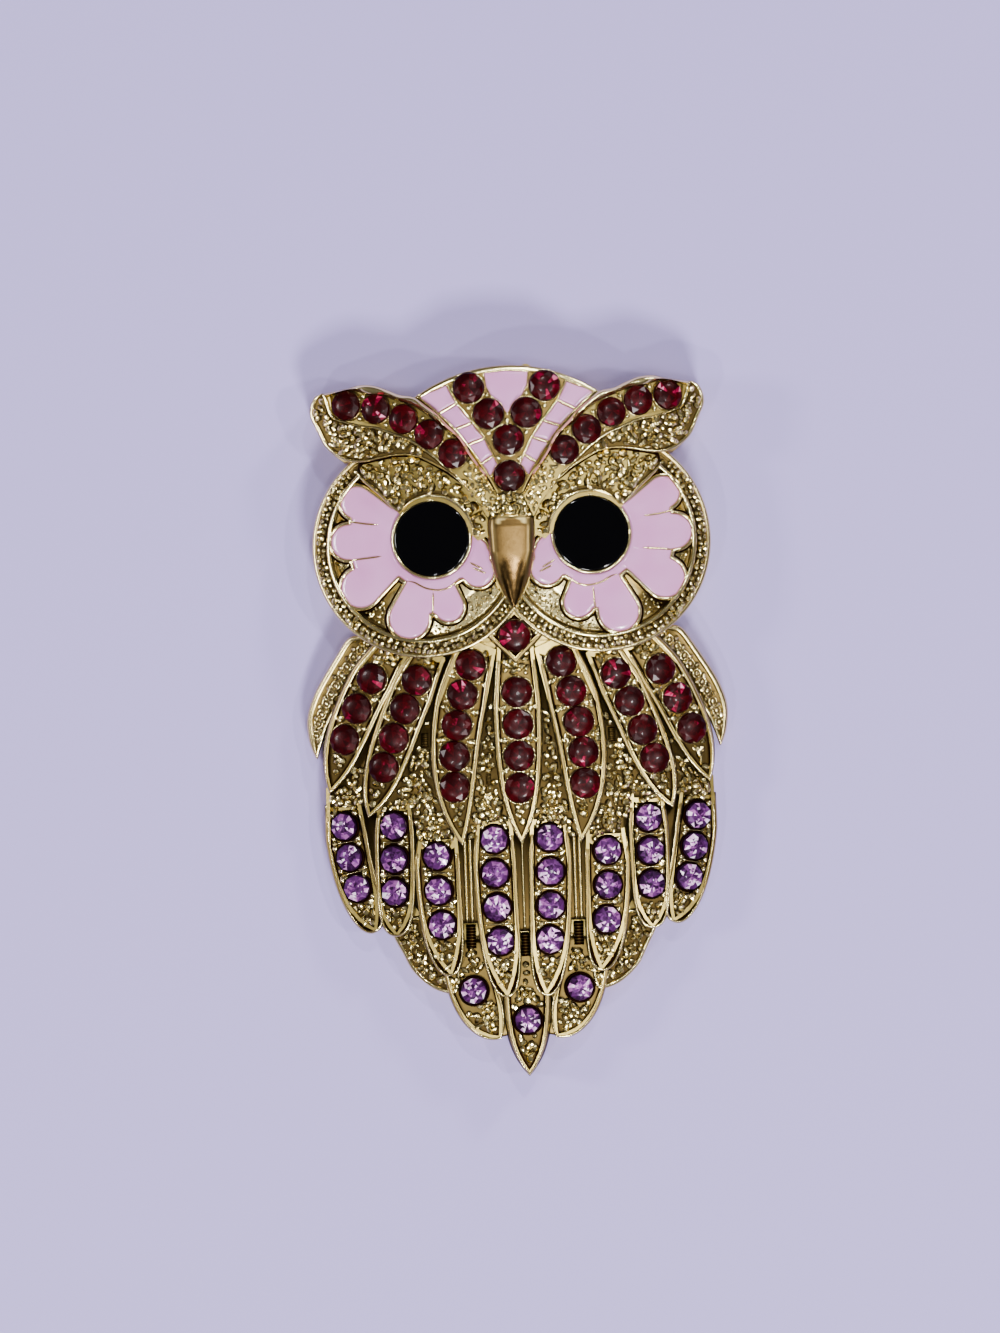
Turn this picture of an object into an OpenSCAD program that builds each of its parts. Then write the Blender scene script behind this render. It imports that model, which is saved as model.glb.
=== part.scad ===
// Owl brooch on its back: a hollow-back casting with raised feathers, set stones, enamel and a bar pin.
// Millimetres, +X to the right, +Y to the top of the head, +Z up. The rim of the back lies in z = 0.

/* [Body] */
// Half width of the folded wings
wing_w = 16; // [14:0.5:18]
// Length of the coat of feathers, from the chin to the tip of the tail
coat_l = 35; // [30:0.5:40]
// Height of the chin above the middle of the brooch
chin_y = 5.45; // [4.5:0.05:6.5]
// Radius of the curve across the front
dome_r = 41; // [36:1:50]
// Height of the body's ridge at the chin
body_crest = 5.6; // [5:0.1:6.5]
// Fall of the body towards the tail, degrees
body_fall = 3; // [0:0.5:4]
// Thickness of the casting between the back and the lowest feathers
wall = 1.3; // [1.1:0.1:1.6]
// Thickness of the outer rim at the back
rim_wall = 1.7; // [1.3:0.1:2.2]

/* [Feathers] */
// Height of each row of feathers above the one under it
row_step = 0.7; // [0.5:0.05:0.9]
// Width of the raised line round a feather
line_w = 0.3; // [0.2:0.05:0.4]
// Height of the raised line round a feather
line_h = 0.35; // [0.2:0.05:0.5]
// Flat edge between a stone and the outside of its feather
feather_edge = 0.55; // [0.4:0.05:0.65]
// Depth of the dark pits between feathers
pit_depth = 0.9; // [0.5:0.1:1.1]

/* [Head] */
// Half width across the ear tufts
head_w = 16.4; // [15:0.2:18]
// Length of the head, from the chin to the crown
head_l = 24.15; // [22:0.15:26]
// Height of the head's ridge
head_crest = 7.9; // [7.4:0.1:8.6]
// Fall of the head towards the crown, degrees
head_fall = 2; // [0:0.5:3]
// Radius of a face disc
face_r = 9.25; // [8.75:0.05:9.75]
// Distance of a face disc from the middle line
face_x = 7.35; // [7:0.05:7.75]
// Gap between the chin and the lower edge of the face discs
chin_gap = 0.15; // [0.05:0.05:0.4]
// Width of the border round a face disc
face_border = 1.4; // [1.2:0.05:1.6]
// Depth of the recessed floor of a face disc
face_deep = 0.9; // [0.6:0.05:1]
// Width of the beak at its top
beak_w = 3.7; // [3.2:0.1:4.2]
// Length of the beak
beak_l = 7.3; // [6.5:0.1:8]
// Height of the beak's ridge over the head's
beak_rise = 1; // [0.8:0.1:1.4]

/* [Eyes] */
// Radius of an eye
eye_r = 3.12; // [2.8:0.04:3.3]
// Distance of an eye from the middle line
eye_x = 6.64; // [6.2:0.04:7]
// Height of an eye above the chin
eye_up = 9.97; // [9.4:0.1:10.4]
// Thickness of the gold collar round an eye
eye_collar = 0.25; // [0.2:0.05:0.35]
// Rise of the middle of an eye over its edge
eye_dome = 0.4; // [0.2:0.05:0.7]

/* [Stones] */
// Diameter of the red stones
red_d = 2.42; // [2.2:0.02:2.44]
// Diameter of the red stones in the brows
brow_d = 2.3; // [2:0.05:2.3]
// Diameter of the purple stones
purple_d = 2.35; // [2.1:0.05:2.5]
// Glue between a stone's flat back and its channel
glue_t = 0.05; // [0.04:0.01:0.1]

/* [Enamel] */
// Thickness of the enamel
enamel_t = 0.45; // [0.3:0.05:0.5]
// Width of the gold walls round the enamel
cell_wall = 0.22; // [0.16:0.02:0.3]
// Clearance between enamel and its walls
enamel_gap = 0.05; // [0.03:0.01:0.08]

/* [Pin] */
// Length of the bar that carries the pin
bar_l = 24; // [20:1:26]
// Width of the bar
bar_w = 3.6; // [3:0.2:4.5]
// Thickness of the bar
bar_t = 0.7; // [0.5:0.1:0.9]
// Thickness of the stem
stem_d = 1; // [0.8:0.1:1.2]
// Height of the stem's middle above the surface that the brooch lies on
stem_z = 1.5; // [1.2:0.1:1.8]

/* [Hidden] */
$fn = 64;
tall = 20;
// How far the hollow's cutter reaches below the rim of the back
below = 1;
face_y = chin_y + chin_gap + face_r;
eye_y = chin_y + eye_up;
crown_y = chin_y + head_l;
// Heights above the two curved grounds, row by row
tail_side_level = 0;
tail_mid_level = 0.2;
row_2_level = row_step;
row_1_level = 2 * row_step;
throat_level = row_1_level + 0.5;
breast_level = row_step - 0.1;
brow_level = 0.7;
lid_level = 0.3;
forehead_level = 0.4;
petal_level = -0.15;
enamel_sink = 0.06;
// The eyes: depth of their seats below the head's ground, rise of their edge over it, and of their collar
eye_seat = 1.1;
eye_rise = 0.15;
collar_rise = 0.1;
// A stone's table radius, crown and straight side as shares of its radius
table_share = 0.58;
crown_share = 0.36;
side_share = 0.2;
// Width of the enamel under an eye, and of a petal at the eye as a share of its round end
petal_band = 0.75;
PETAL_ROOT = 0.7;
// The border of a face disc: its smooth outer edge, and the depth of the groove for its row of beads
edge_w = 0.5;
bead_deep = 0.2;

// The pin: its drop below the middle of the discs, how far its hinge and catch sit from the bar's ends, the
// hinge block, the catch, and the stem's play in the catch and length beyond it; then the least height of the
// pads, how far they reach into the wall, and their width as a share of the bar's
pin_drop = 1;
pin_inset = 1.6;
hinge_l = 2.4;
hinge_w = 2.2;
catch_w = 1.6;
catch_wall = 0.55;
stem_play = 0.1;
stem_over = 1.5;
pad_min = 0.2;
pad_grip = 0.4;
PAD_SHARE = 0.9;

// Feather columns: root x, root y, bend x, bend y, tip x, tip y, width share, bluntness, stones, first, last.
// Places are shares of wing_w and coat_l. The last two are where the first and last stone lie along the feather.
ROW_1 = [
    [0, -0.033, 0, 0.207, 0, 0.447, 1.1, 5, 4, 0.245, 0.72],
    [0.189, -0.035, 0.406, 0.194, 0.306, 0.447, 1.18, 4.5, 5, 0.112, 0.718],
    [0.438, -0.02, 0.61, 0.123, 0.794, 0.373, 1, 8, 4, 0.221, 0.747],
    [0.62, -0.035, 0.844, 0.073, 0.994, 0.313, 1, 7, 3, 0.3, 0.71],
];
ROW_2 = [
    [0.1375, 0.327, 0.1625, 0.584, 0.1, 0.811, 1.02, 6, 4, 0.21, 0.71],
    [0.431, 0.356, 0.469, 0.57, 0.39, 0.756, 1.08, 5, 3, 0.27, 0.68],
    [0.656, 0.299, 0.669, 0.484, 0.669, 0.659, 0.95, 8, 3, 0.26, 0.7],
    [0.931, 0.299, 0.925, 0.513, 0.775, 0.647, 1.02, 5, 3, 0.23, 0.64],
];
TAIL_SIDE = [0.3125, 0.641, 0.325, 0.813, 0.144, 0.91, 1.2, 5, 1, 0.5, 0.5];
TAIL_MID = [0, 0.67, 0, 0.841, 0, 1, 1.08, 5, 1, 0.589, 0.589];
// Columns: x, y, as shares of wing_w and coat_l
GROUND = [
    [0, -0.1], [0.5, -0.1], [0.79, -0.05], [0.81, -0.03], [0.99, 0.1], [0.99, 0.384], [0.96, 0.461],
    [0.9, 0.541], [0.8, 0.61], [0.66, 0.65], [0.5, 0.73], [0.3, 0.77], [0.12, 0.87], [0, 0.9],
];
BEHIND = [
    [0.5, 0.584], [0.7, 0.613], [0.681, 0.659], [0.6375, 0.701], [0.6, 0.739], [0.556, 0.761],
    [0.504, 0.781], [0.45, 0.793], [0.375, 0.799], [0.344, 0.727], [0.375, 0.613],
];
SHOULDER = [
    [0.77, -0.059], [0.875, -0.053], [0.938, -0.013], [1.019, 0.044], [1.063, 0.081], [1.094, 0.121],
    [1.1, 0.156], [1.088, 0.196], [1.056, 0.23], [1.03, 0.193], [0.994, 0.156], [0.919, 0.096],
    [0.844, 0.039], [0.75, -0.007],
];
// Pit columns: x, y, half width, half length, as shares of wing_w and coat_l
PITS = [
    [0.4875, 0.193, 0.019, 0.017], [0.1625, 0.29, 0.016, 0.014], [0.28, 0.664, 0.028, 0.028],
    [0, 0.688, 0.012, 0.017],
];
// Hollow of the back, columns: x, y, as shares of wing_w and coat_l, drawn before the rim is taken off
HOLLOW = [
    [0, -0.2], [0.7, -0.1], [0.97, 0.08], [0.98, 0.4], [0.93, 0.5], [0.76, 0.61], [0.52, 0.7], [0.26, 0.81],
    [0, 0.86],
];
// How fast the rim reaches its thickness away from the middle line
RIM_GROWTH = 4;
// Behind the face discs the hollow runs from below their middle to above it, as shares of face_r
FACE_HOLLOW = [-0.55, 0.95];
// The raised ground of the breast and the deeper hollow behind it, columns as above
BREAST = [
    [-0.78, -0.035], [0.78, -0.035], [0.955, 0.12], [0.955, 0.34], [0.72, 0.4], [0.42, 0.45], [0.15, 0.41],
    [-0.15, 0.41], [-0.42, 0.45], [-0.72, 0.4], [-0.955, 0.34], [-0.955, 0.12],
];
BREAST_HOLLOW = [[-0.68, 0.03], [0.68, 0.03], [0.76, 0.2], [0.5, 0.32], [0, 0.34], [-0.5, 0.32], [-0.76, 0.2]];
// Columns: x, y, as shares of head_w and head_l, from the tip of the ear tuft round to the beak and back
BROW = [
    [0.97, 0.919], [0.994, 0.886], [1, 0.847], [0.973, 0.805], [0.933, 0.747], [0.884, 0.714],
    [0.838, 0.689], [0.732, 0.685], [0.598, 0.702], [0.524, 0.704], [0.451, 0.694], [0.384, 0.669],
    [0.311, 0.64], [0.247, 0.602], [0.195, 0.561], [0.149, 0.52], [0.115, 0.478], [0.061, 0.565],
    [0.104, 0.623], [0.149, 0.656], [0.195, 0.702], [0.238, 0.756], [0.311, 0.805], [0.418, 0.874],
    [0.47, 0.901], [0.543, 0.909], [0.598, 0.925], [0.671, 0.946], [0.738, 0.95], [0.793, 0.942], [0.884, 0.93],
];
LID = [
    [0.74, 0.7], [0.45, 0.71], [0.24, 0.62], [0.12, 0.5], [0.11, 0.42], [0.17, 0.4], [0.4, 0.55],
    [0.56, 0.5], [0.615, 0.536], [0.66, 0.565], [0.714, 0.598], [0.75, 0.623],
];
// Stones of a brow, columns: x, y, as shares of head_w and head_l, at the outer end, the bend and the inner end
BROW_LINE = [[0.811, 0.882], [0.543, 0.876], [0.28, 0.702]];
BROW_STONES = 5;
// Their channel: its ends as shares of that line, its steps and the room beside a stone
CHANNEL_ENDS = [-0.15, 1.11];
CHANNEL_STEPS = 8;
channel_room = 0.15;
// Stones of the forehead: foot of the V and step of its arms, as shares of head_w and head_l
V_FOOT = [0, 0.743];
V_STEP = [0.0957, 0.0911];
V_DROP = 0.124;
THROAT = [0, 0.0488];
// Throat cell, columns: x as a share of wing_w, y as a share of coat_l, and the share of it inside its border
THROAT_CELL = [[0, -0.11], [0.142, -0.05], [0, 0.013], [-0.142, -0.05]];
THROAT_INSIDE = 0.83;
// Crown cells, columns: outer x, outer y, inner x, inner y, as shares of head_w and head_l
CROWN_STRIP = [
    [0.44, 0.905, 0.321, 0.935], [0.335, 0.843, 0.272, 0.88], [0.252, 0.787, 0.189, 0.807],
    [0.195, 0.735, 0.131, 0.754], [0.128, 0.667, 0.076, 0.692], [0.091, 0.619, 0.052, 0.66],
];
WEDGE = [[-0.113, 0.98], [0, 0.99], [0.113, 0.98], [0, 0.829]];
// Radius of the forehead's top edge as a share of head_l, and the wedge below it, columns as above
FOREHEAD_R = 0.56;
FOREHEAD = [[0, 0.44], [0.55, 0.87], [0.55, 1.05], [-0.55, 1.05], [-0.55, 0.87]];
// Small nub on the top edge: x as a share of head_w, distance below the crown, radius
NUB = [0.1, 0.4, 0.55];
// Petals, columns: angle from the outer side in degrees, distance and radius as shares of face_r
PETALS = [
    [35, 0.721, 0.141], [5, 0.678, 0.154], [-32, 0.682, 0.175], [-77, 0.671, 0.175], [-111, 0.595, 0.13],
    [-153, 0.539, 0.135],
];
// Gold lines in the enamel, columns: angle, inner and outer distance from the eye as shares of face_r
DIVIDERS = [[17, 0.47, 0.76], [-13, 0.46, 0.75], [-57, 0.43, 0.52], [-104, 0.44, 0.6]];
// Beak, columns: half width as a share of beak_w, place along it as a share of beak_l
BEAK = [[0.3, -0.03], [0.48, 0.03], [0.5, 0.12], [0.48, 0.384], [0.37, 0.658], [0.18, 0.88], [0, 1]];
// Its start above the middle of the discs as a share of beak_l, and the radius of its back as a share of beak_w
BEAK_START = 0.28;
BEAK_ROUND = 0.55;

// Places and curves

function coat(p) = [p[0] * wing_w, chin_y - p[1] * coat_l];
function head(p) = [p[0] * head_w, chin_y + p[1] * head_l];
function flip(points, side) = [for (p = points) [side * p[0], p[1]]];
// The right half of an outline, from the middle line and back to it, with its left half added
function both_sides(points) = concat(points, flip([for (i = [len(points) - 2:-1:1]) points[i]], -1));
function mix(a, b, t) = a * (1 - t) + b * t;
function curve(a, b, c, t) = mix(mix(a, b, t), mix(b, c, t), t);
function heading(a, b, c, t) = let (d = mix(b - a, c - b, t)) d / norm(d);
function body_z(x, y, level) =
    body_crest + (y - chin_y) * tan(body_fall)
        + (sqrt(pow(dome_r + level, 2) - x * x) - dome_r) / cos(body_fall);
function head_z(x, y, level) =
    head_crest - (y - face_y) * tan(head_fall)
        + (sqrt(pow(dome_r + level, 2) - x * x) - dome_r) / cos(head_fall);

eye_base_z = head_z(eye_x, eye_y, -eye_seat);
eye_ball_r = (eye_r * eye_r + eye_dome * eye_dome) / (2 * eye_dome);

// A feather f = [root, bend, tip, half width, bluntness] in millimetres
function feather(row, d, side) = [
    flip([coat([row[0], row[1]])], side)[0], flip([coat([row[2], row[3]])], side)[0],
    flip([coat([row[4], row[5]])], side)[0], (d / 2 + feather_edge) * row[6], row[7],
];
function feather_width(f, t) = f[3] * (1 - pow(t, f[4])) * (0.75 + 0.25 * min(1, t / 0.3));
FEATHER_STEPS = 8;
// An inset outline starts before the root, so that the raised line is open there
function feather_side(f, side, inset, t) =
    let (d = heading(f[0], f[1], f[2], t))
    curve(f[0], f[1], f[2], t) + [-d[1], d[0]] * side * max(0, feather_width(f, t) - inset)
        - d * (t == 0 ? inset : 0);
// Where a feather gets too narrow to hold its inset outline, by its tip
function feather_end(f, inset) = pow(1 - inset / f[3], 1 / f[4]);
function feather_outline(f, inset = 0) = let (last = feather_end(f, inset)) concat(
    [for (i = [0:FEATHER_STEPS - 1]) feather_side(f, 1, inset, last * sqrt(i / FEATHER_STEPS))],
    [curve(f[0], f[1], f[2], last)],
    [for (i = [FEATHER_STEPS - 1:-1:0]) feather_side(f, -1, inset, last * sqrt(i / FEATHER_STEPS))]
);
// n places along the curve a, b, c between the shares first and last, spaced by its speed at both ends
function along(a, b, c, first, last, n) =
    let (
        v0 = norm(mix(b - a, c - b, first)),
        v1 = norm(mix(b - a, c - b, last)),
        ease = (v1 - v0) / (v1 + v0)
    )
    [for (i = [0:n - 1]) let (s = i / max(1, n - 1)) curve(a, b, c, mix(first, last, s + ease * s * (1 - s)))];
function row_places(row, side) = let (f = feather(row, 1, side))
    along(f[0], f[1], f[2], row[9], row[10], row[8]);
function brow_places(side) = let (b = flip([for (p = BROW_LINE) head(p)], side))
    along(b[0], b[1], b[2], 0, 1, BROW_STONES);
// The channel in which the stones of a brow stand, from one end of their line to the other
function channel_side(b, w, i) =
    let (t = mix(CHANNEL_ENDS[0], CHANNEL_ENDS[1], i / CHANNEL_STEPS), d = heading(b[0], b[1], b[2], t))
    curve(b[0], b[1], b[2], t) + [-d[1], d[0]] * w;
function brow_channel(side) =
    let (b = flip([for (p = BROW_LINE) head(p)], side), w = brow_d / 2 + channel_room)
    concat(
        [for (i = [0:CHANNEL_STEPS]) channel_side(b, w, i)],
        [for (i = [CHANNEL_STEPS:-1:0]) channel_side(b, -w, i)]
    );
FOREHEAD_PLACES = [
    for (i = [-2:2]) head(V_FOOT + [V_STEP[0] * i, V_STEP[1] * abs(i)]), head(V_FOOT - [0, V_DROP]),
];
THROAT_PLACES = [coat([0, -THROAT[1]])];
TAIL_PLACES = concat(row_places(TAIL_SIDE, -1), row_places(TAIL_MID, 1), row_places(TAIL_SIDE, 1));
// The rows of stones from left to right, as [row, side]
RED_ROWS = [for (i = [3:-1:0]) [ROW_1[i], -1], for (i = [1:3]) [ROW_1[i], 1]];
PURPLE_ROWS = [for (i = [3:-1:0]) [ROW_2[i], -1], for (i = [0:3]) [ROW_2[i], 1]];

// Curved grounds: everything below a level, or between two levels

module body_ground(level)
    translate([0, chin_y, body_crest - dome_r / cos(body_fall)])
        rotate([body_fall, 0, 0]) rotate([90, 0, 0])
            cylinder(r = dome_r + level, h = 10 * tall, center = true, $fn = 180);

module head_ground(level)
    translate([0, face_y, head_crest - dome_r / cos(head_fall)])
        rotate([-head_fall, 0, 0]) rotate([90, 0, 0])
            cylinder(r = dome_r + level, h = 10 * tall, center = true, $fn = 180);

module on_body(level) intersection() {
    linear_extrude(tall) children();
    body_ground(level);
}

module on_head(level) intersection() {
    linear_extrude(tall) children();
    head_ground(level);
}

module above_body(level) difference() {
    linear_extrude(tall) children();
    body_ground(level);
}

module above_head(level) difference() {
    linear_extrude(tall) children();
    head_ground(level);
}

// Stones: flat backs, with a straight side, an eight-sided table and a crown of twenty-four facets

module cut_stone(d) {
    r = d / 2;
    points = concat(
        [for (i = [0:7]) r * [table_share * cos(45 * i), table_share * sin(45 * i), side_share + crown_share]],
        [for (i = [0:15]) [r * cos(22.5 * i), r * sin(22.5 * i), r * side_share]],
        [for (i = [0:15]) [r * cos(22.5 * i), r * sin(22.5 * i), 0]]
    );
    faces = concat(
        [[for (i = [7:-1:0]) i]],
        [for (i = [0:7]) [i, (i + 1) % 8, 8 + (2 * i + 1) % 16]],
        [for (i = [0:7]) [i, 8 + (2 * i + 1) % 16, 8 + 2 * i]],
        [for (i = [0:7]) [i, 8 + 2 * i, 8 + (2 * i + 15) % 16]],
        [for (i = [0:15]) [8 + i, 8 + (i + 1) % 16, 24 + (i + 1) % 16, 24 + i]],
        [[for (i = [0:15]) 24 + i]]
    );
    polyhedron(points, faces);
}

module place_on_body(places, level) for (p = places)
    translate([p[0], p[1], body_z(p[0], p[1], level + glue_t)])
        rotate([body_fall, 0, 0]) rotate([0, asin(p[0] / (dome_r + level)), 0]) children();

module place_on_head(places, level) for (p = places)
    translate([p[0], p[1], head_z(p[0], p[1], level + glue_t)])
        rotate([-head_fall, 0, 0]) rotate([0, asin(p[0] / (dome_r + level)), 0]) children();

// Feathers: a leaf with a raised line round it

module leaf(f, level) difference() {
    on_body(level + line_h) polygon(feather_outline(f));
    above_body(level) polygon(feather_outline(f, line_w));
}

module feather_row(rows, d, level) for (side = [-1, 1]) for (row = rows)
    if (side > 0 || row[0] > 0) leaf(feather(row, d, side), level);

module pits() for (side = [-1, 1]) for (p = PITS)
    if (side > 0 || p[0] > 0) above_body(-pit_depth / 2)
        translate([side * p[0] * wing_w, chin_y - p[1] * coat_l])
            square([2 * p[2] * wing_w, 2 * p[3] * coat_l], center = true);

module shoulder(side) on_body(row_step) polygon(flip([for (p = SHOULDER) coat(p)], side));

// The body in rows, from the back to the front

module body_solid() {
    on_body(-line_h) polygon(both_sides([for (p = GROUND) coat(p)]));
    on_body(breast_level) polygon([for (p = BREAST) coat(p)]);
    for (side = [-1, 1]) {
        on_body(0) polygon(flip([for (p = BEHIND) coat(p)], side));
        shoulder(side);
        leaf(feather(TAIL_SIDE, purple_d, side), tail_side_level);
    }
    leaf(feather(TAIL_MID, purple_d, 1), tail_mid_level);
    feather_row(ROW_2, purple_d, row_2_level);
    feather_row(ROW_1, red_d, row_1_level);
}

// The head

module disc_2d(side, r) translate([side * face_x, face_y]) circle(r = r);

module eye_2d(side, r) translate([side * eye_x, eye_y]) circle(r = r);

// A petal runs from the eye to a round end
function petal_outline(p, side, grow) =
    let (
        e = [side * eye_x, eye_y],
        c = [side * (face_x + p[1] * face_r * cos(p[0])), face_y + p[1] * face_r * sin(p[0])],
        r = p[2] * face_r + grow,
        turn = atan2(c[1] - e[1], c[0] - e[0]),
        n = r * PETAL_ROOT * [-sin(turn), cos(turn)]
    )
    concat([e + n], [for (a = [90:-20:-90]) c + r * [cos(turn + a), sin(turn + a)]], [e - n]);

module petals(side, grow) {
    linear_extrude(tall) eye_2d(side, eye_r + eye_collar + petal_band + grow);
    for (p = PETALS) linear_extrude(tall) polygon(petal_outline(p, side, grow));
}

module dividers(side, w) for (p = DIVIDERS)
    translate([side * eye_x, eye_y, 0]) rotate(side > 0 ? p[0] : 180 - p[0])
        translate([p[1] * face_r, -w / 2, 0]) cube([(p[2] - p[1]) * face_r, w, tall]);

module lid_2d(side) polygon(flip([for (p = LID) head(p)], side));

module brow_2d(side) polygon(flip([for (p = BROW) head(p)], side));

module crown_cell_2d(side, i, inset) {
    a = CROWN_STRIP[i];
    b = CROWN_STRIP[i + 1];
    corners = [head([a[0], a[1]]), head([a[2], a[3]]), head([b[2], b[3]]), head([b[0], b[1]])];
    middle = (corners[0] + corners[1] + corners[2] + corners[3]) / 4;
    polygon(flip([for (p = corners) p + (middle - p) / norm(middle - p) * inset], side));
}

module wedge_2d(inset) {
    corners = [for (p = WEDGE) head(p)];
    middle = (corners[0] + corners[1] + corners[2] + corners[3]) / 4;
    polygon([for (p = corners) p + (middle - p) / norm(middle - p) * inset]);
}

module forehead_2d() intersection() {
    translate([0, crown_y - FOREHEAD_R * head_l]) circle(r = FOREHEAD_R * head_l);
    polygon([for (p = FOREHEAD) head(p)]);
}

module beak_2d(grow) translate([0, face_y + BEAK_START * beak_l]) polygon(concat(
    [for (p = BEAK) [p[0] * beak_w + grow, -p[1] * (beak_l + grow)]],
    [for (i = [len(BEAK) - 1:-1:0]) [-BEAK[i][0] * beak_w - grow, -BEAK[i][1] * (beak_l + grow)]]
));

// The room that the enamel leaves for the beak
module beak_clear() linear_extrude(tall) beak_2d(enamel_gap);

module beak_solid() intersection() {
    linear_extrude(tall) beak_2d(0);
    translate([0, face_y, head_crest + beak_rise - BEAK_ROUND * beak_w])
        rotate([2 * head_fall, 0, 0]) rotate([90, 0, 0]) union() {
            cylinder(r = BEAK_ROUND * beak_w, h = 3 * tall, center = true);
            translate([0, -beak_w, 0]) cube([2 * BEAK_ROUND * beak_w, 2 * beak_w, 3 * tall], center = true);
        }
}

module face(side) {
    difference() {
        on_head(0) disc_2d(side, face_r);
        above_head(-face_deep) disc_2d(side, face_r - face_border);
        difference() {
            above_head(-bead_deep) disc_2d(side, face_r - edge_w);
            linear_extrude(tall) disc_2d(side, face_r - face_border + cell_wall);
        }
    }
    intersection() {
        petals(side, cell_wall);
        head_ground(petal_level);
    }
}

module eye_collar_solid(side) on_head(collar_rise) eye_2d(side, eye_r + eye_collar);

// The wells for the enamel and the eye

module face_wells(side) {
    difference() {
        petals(side, 0);
        head_ground(petal_level - enamel_sink - enamel_t - enamel_gap);
        dividers(side, cell_wall);
    }
    translate([side * eye_x, eye_y, eye_base_z - enamel_gap]) cylinder(r = eye_r + enamel_gap, h = tall);
}

module head_solid() {
    difference() {
        union() {
            for (side = [-1, 1]) face(side);
            on_head(forehead_level) forehead_2d();
        }
        for (side = [-1, 1]) face_wells(side);
        for (side = [-1, 1]) for (i = [0:len(CROWN_STRIP) - 2])
            above_head(forehead_level - enamel_sink - enamel_t - enamel_gap)
                crown_cell_2d(side, i, cell_wall / 2);
        above_head(forehead_level - enamel_sink - enamel_t - enamel_gap) wedge_2d(cell_wall / 2);
    }
    difference() {
        for (side = [-1, 1]) {
            on_head(lid_level) lid_2d(side);
            difference() {
                on_head(brow_level + line_h) brow_2d(side);
                above_head(brow_level) polygon(brow_channel(side));
            }
            eye_collar_solid(side);
        }
        for (side = [-1, 1]) translate([side * eye_x, eye_y, eye_base_z - enamel_gap])
            cylinder(r = eye_r + enamel_gap, h = tall);
    }
    beak_solid();
    translate([NUB[0] * head_w, crown_y - NUB[1], 0]) cylinder(r = NUB[2], h = body_crest);
}

module throat_solid() difference() {
    on_body(throat_level + line_h) polygon([for (p = THROAT_CELL) coat(p)]);
    above_body(throat_level)
        polygon([for (p = THROAT_CELL) coat(mix([0, THROAT_CELL[1][1]], p, THROAT_INSIDE))]);
}

// The hollow of the back, open below, with a deeper part behind the breast

module hollow() {
    intersection() {
        translate([0, 0, -below]) linear_extrude(tall) polygon([for (p = BREAST_HOLLOW) coat(p)]);
        body_ground(breast_level - wall);
    }
    intersection() {
        translate([0, 0, -below]) linear_extrude(tall)
            polygon(both_sides([for (p = HOLLOW) coat(p) - [rim_wall * min(1, RIM_GROWTH * p[0]), 0]]));
        body_ground(-wall);
    }
    intersection() {
        translate([0, 0, -below]) linear_extrude(tall) {
            for (side = [-1, 1]) disc_2d(side, face_r - rim_wall);
            translate([-face_x, face_y + FACE_HOLLOW[0] * face_r])
                square([2 * face_x, (FACE_HOLLOW[1] - FACE_HOLLOW[0]) * face_r]);
        }
        head_ground(-face_deep - wall);
    }
}

pin_y = face_y - pin_drop;
// The underside of the hollow above a place on the pin's line
function roof(x) = head_z(x, pin_y, -face_deep - wall);
bar_top = roof(bar_l / 2) - pad_min;
pad_top = roof(bar_l / 4) + pad_grip * wall;

module pin_pads() for (side = [-1, 1])
    translate([side * bar_l / 4, pin_y, bar_top + glue_t])
        cylinder(d = PAD_SHARE * bar_w, h = pad_top - bar_top - glue_t);

module casting() color("gold") difference() {
    union() {
        difference() {
            union() {
                body_solid();
                head_solid();
                throat_solid();
            }
            hollow();
        }
        pin_pads();
    }
    pits();
}

// The pin: bar, hinge block, stem and catch in one piece

module pin_finding() color("silver") {
    hinge_x = bar_l / 2 - pin_inset;
    block_h = bar_top - bar_t / 2 - stem_z;
    hole_d = stem_d + 2 * stem_play;
    translate([-bar_l / 2, pin_y - bar_w / 2, bar_top - bar_t]) cube([bar_l, bar_w, bar_t]);
    translate([hinge_x - hinge_l / 2, pin_y - hinge_w / 2, stem_z]) cube([hinge_l, hinge_w, block_h]);
    translate([hinge_x, pin_y, stem_z]) rotate([90, 0, 0]) cylinder(d = 2 * stem_d, h = hinge_w, center = true);
    translate([hinge_x, pin_y, stem_z]) rotate([0, -90, 0]) cylinder(d = stem_d, h = 2 * hinge_x + stem_over);
    translate([-hinge_x, pin_y, stem_z]) difference() {
        union() {
            rotate([0, 90, 0]) cylinder(d = hole_d + 2 * catch_wall, h = catch_w, center = true);
            translate([-catch_w / 2, hole_d / 2, 0]) cube([catch_w, catch_wall, block_h]);
        }
        rotate([0, 90, 0]) cylinder(d = hole_d, h = 2 * catch_w, center = true);
    }
}

// Eyes, enamel and stones

module eye(side) color("black") intersection() {
    translate([side * eye_x, eye_y, eye_base_z]) cylinder(r = eye_r, h = tall);
    translate([side * eye_x, eye_y, head_z(eye_x, eye_y, eye_rise) + eye_dome - eye_ball_r])
        sphere(r = eye_ball_r, $fn = 96);
}

module face_enamel(side) color("thistle") difference() {
    intersection() {
        petals(side, -enamel_gap);
        head_ground(petal_level - enamel_sink);
    }
    head_ground(petal_level - enamel_sink - enamel_t);
    dividers(side, cell_wall + 2 * enamel_gap);
    linear_extrude(tall) eye_2d(side, eye_r + eye_collar + enamel_gap);
    translate([0, -2 * enamel_gap, 0]) linear_extrude(tall) lid_2d(side);
    translate([side * 2 * enamel_gap, 0, 0]) linear_extrude(tall) lid_2d(side);
    beak_clear();
}

module crown_enamel() color("thistle") difference() {
    on_head(forehead_level - enamel_sink) children();
    head_ground(forehead_level - enamel_sink - enamel_t);
}

module crown_cells(side) crown_enamel()
    for (i = [0:len(CROWN_STRIP) - 2]) crown_cell_2d(side, i, cell_wall / 2 + enamel_gap);

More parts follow.
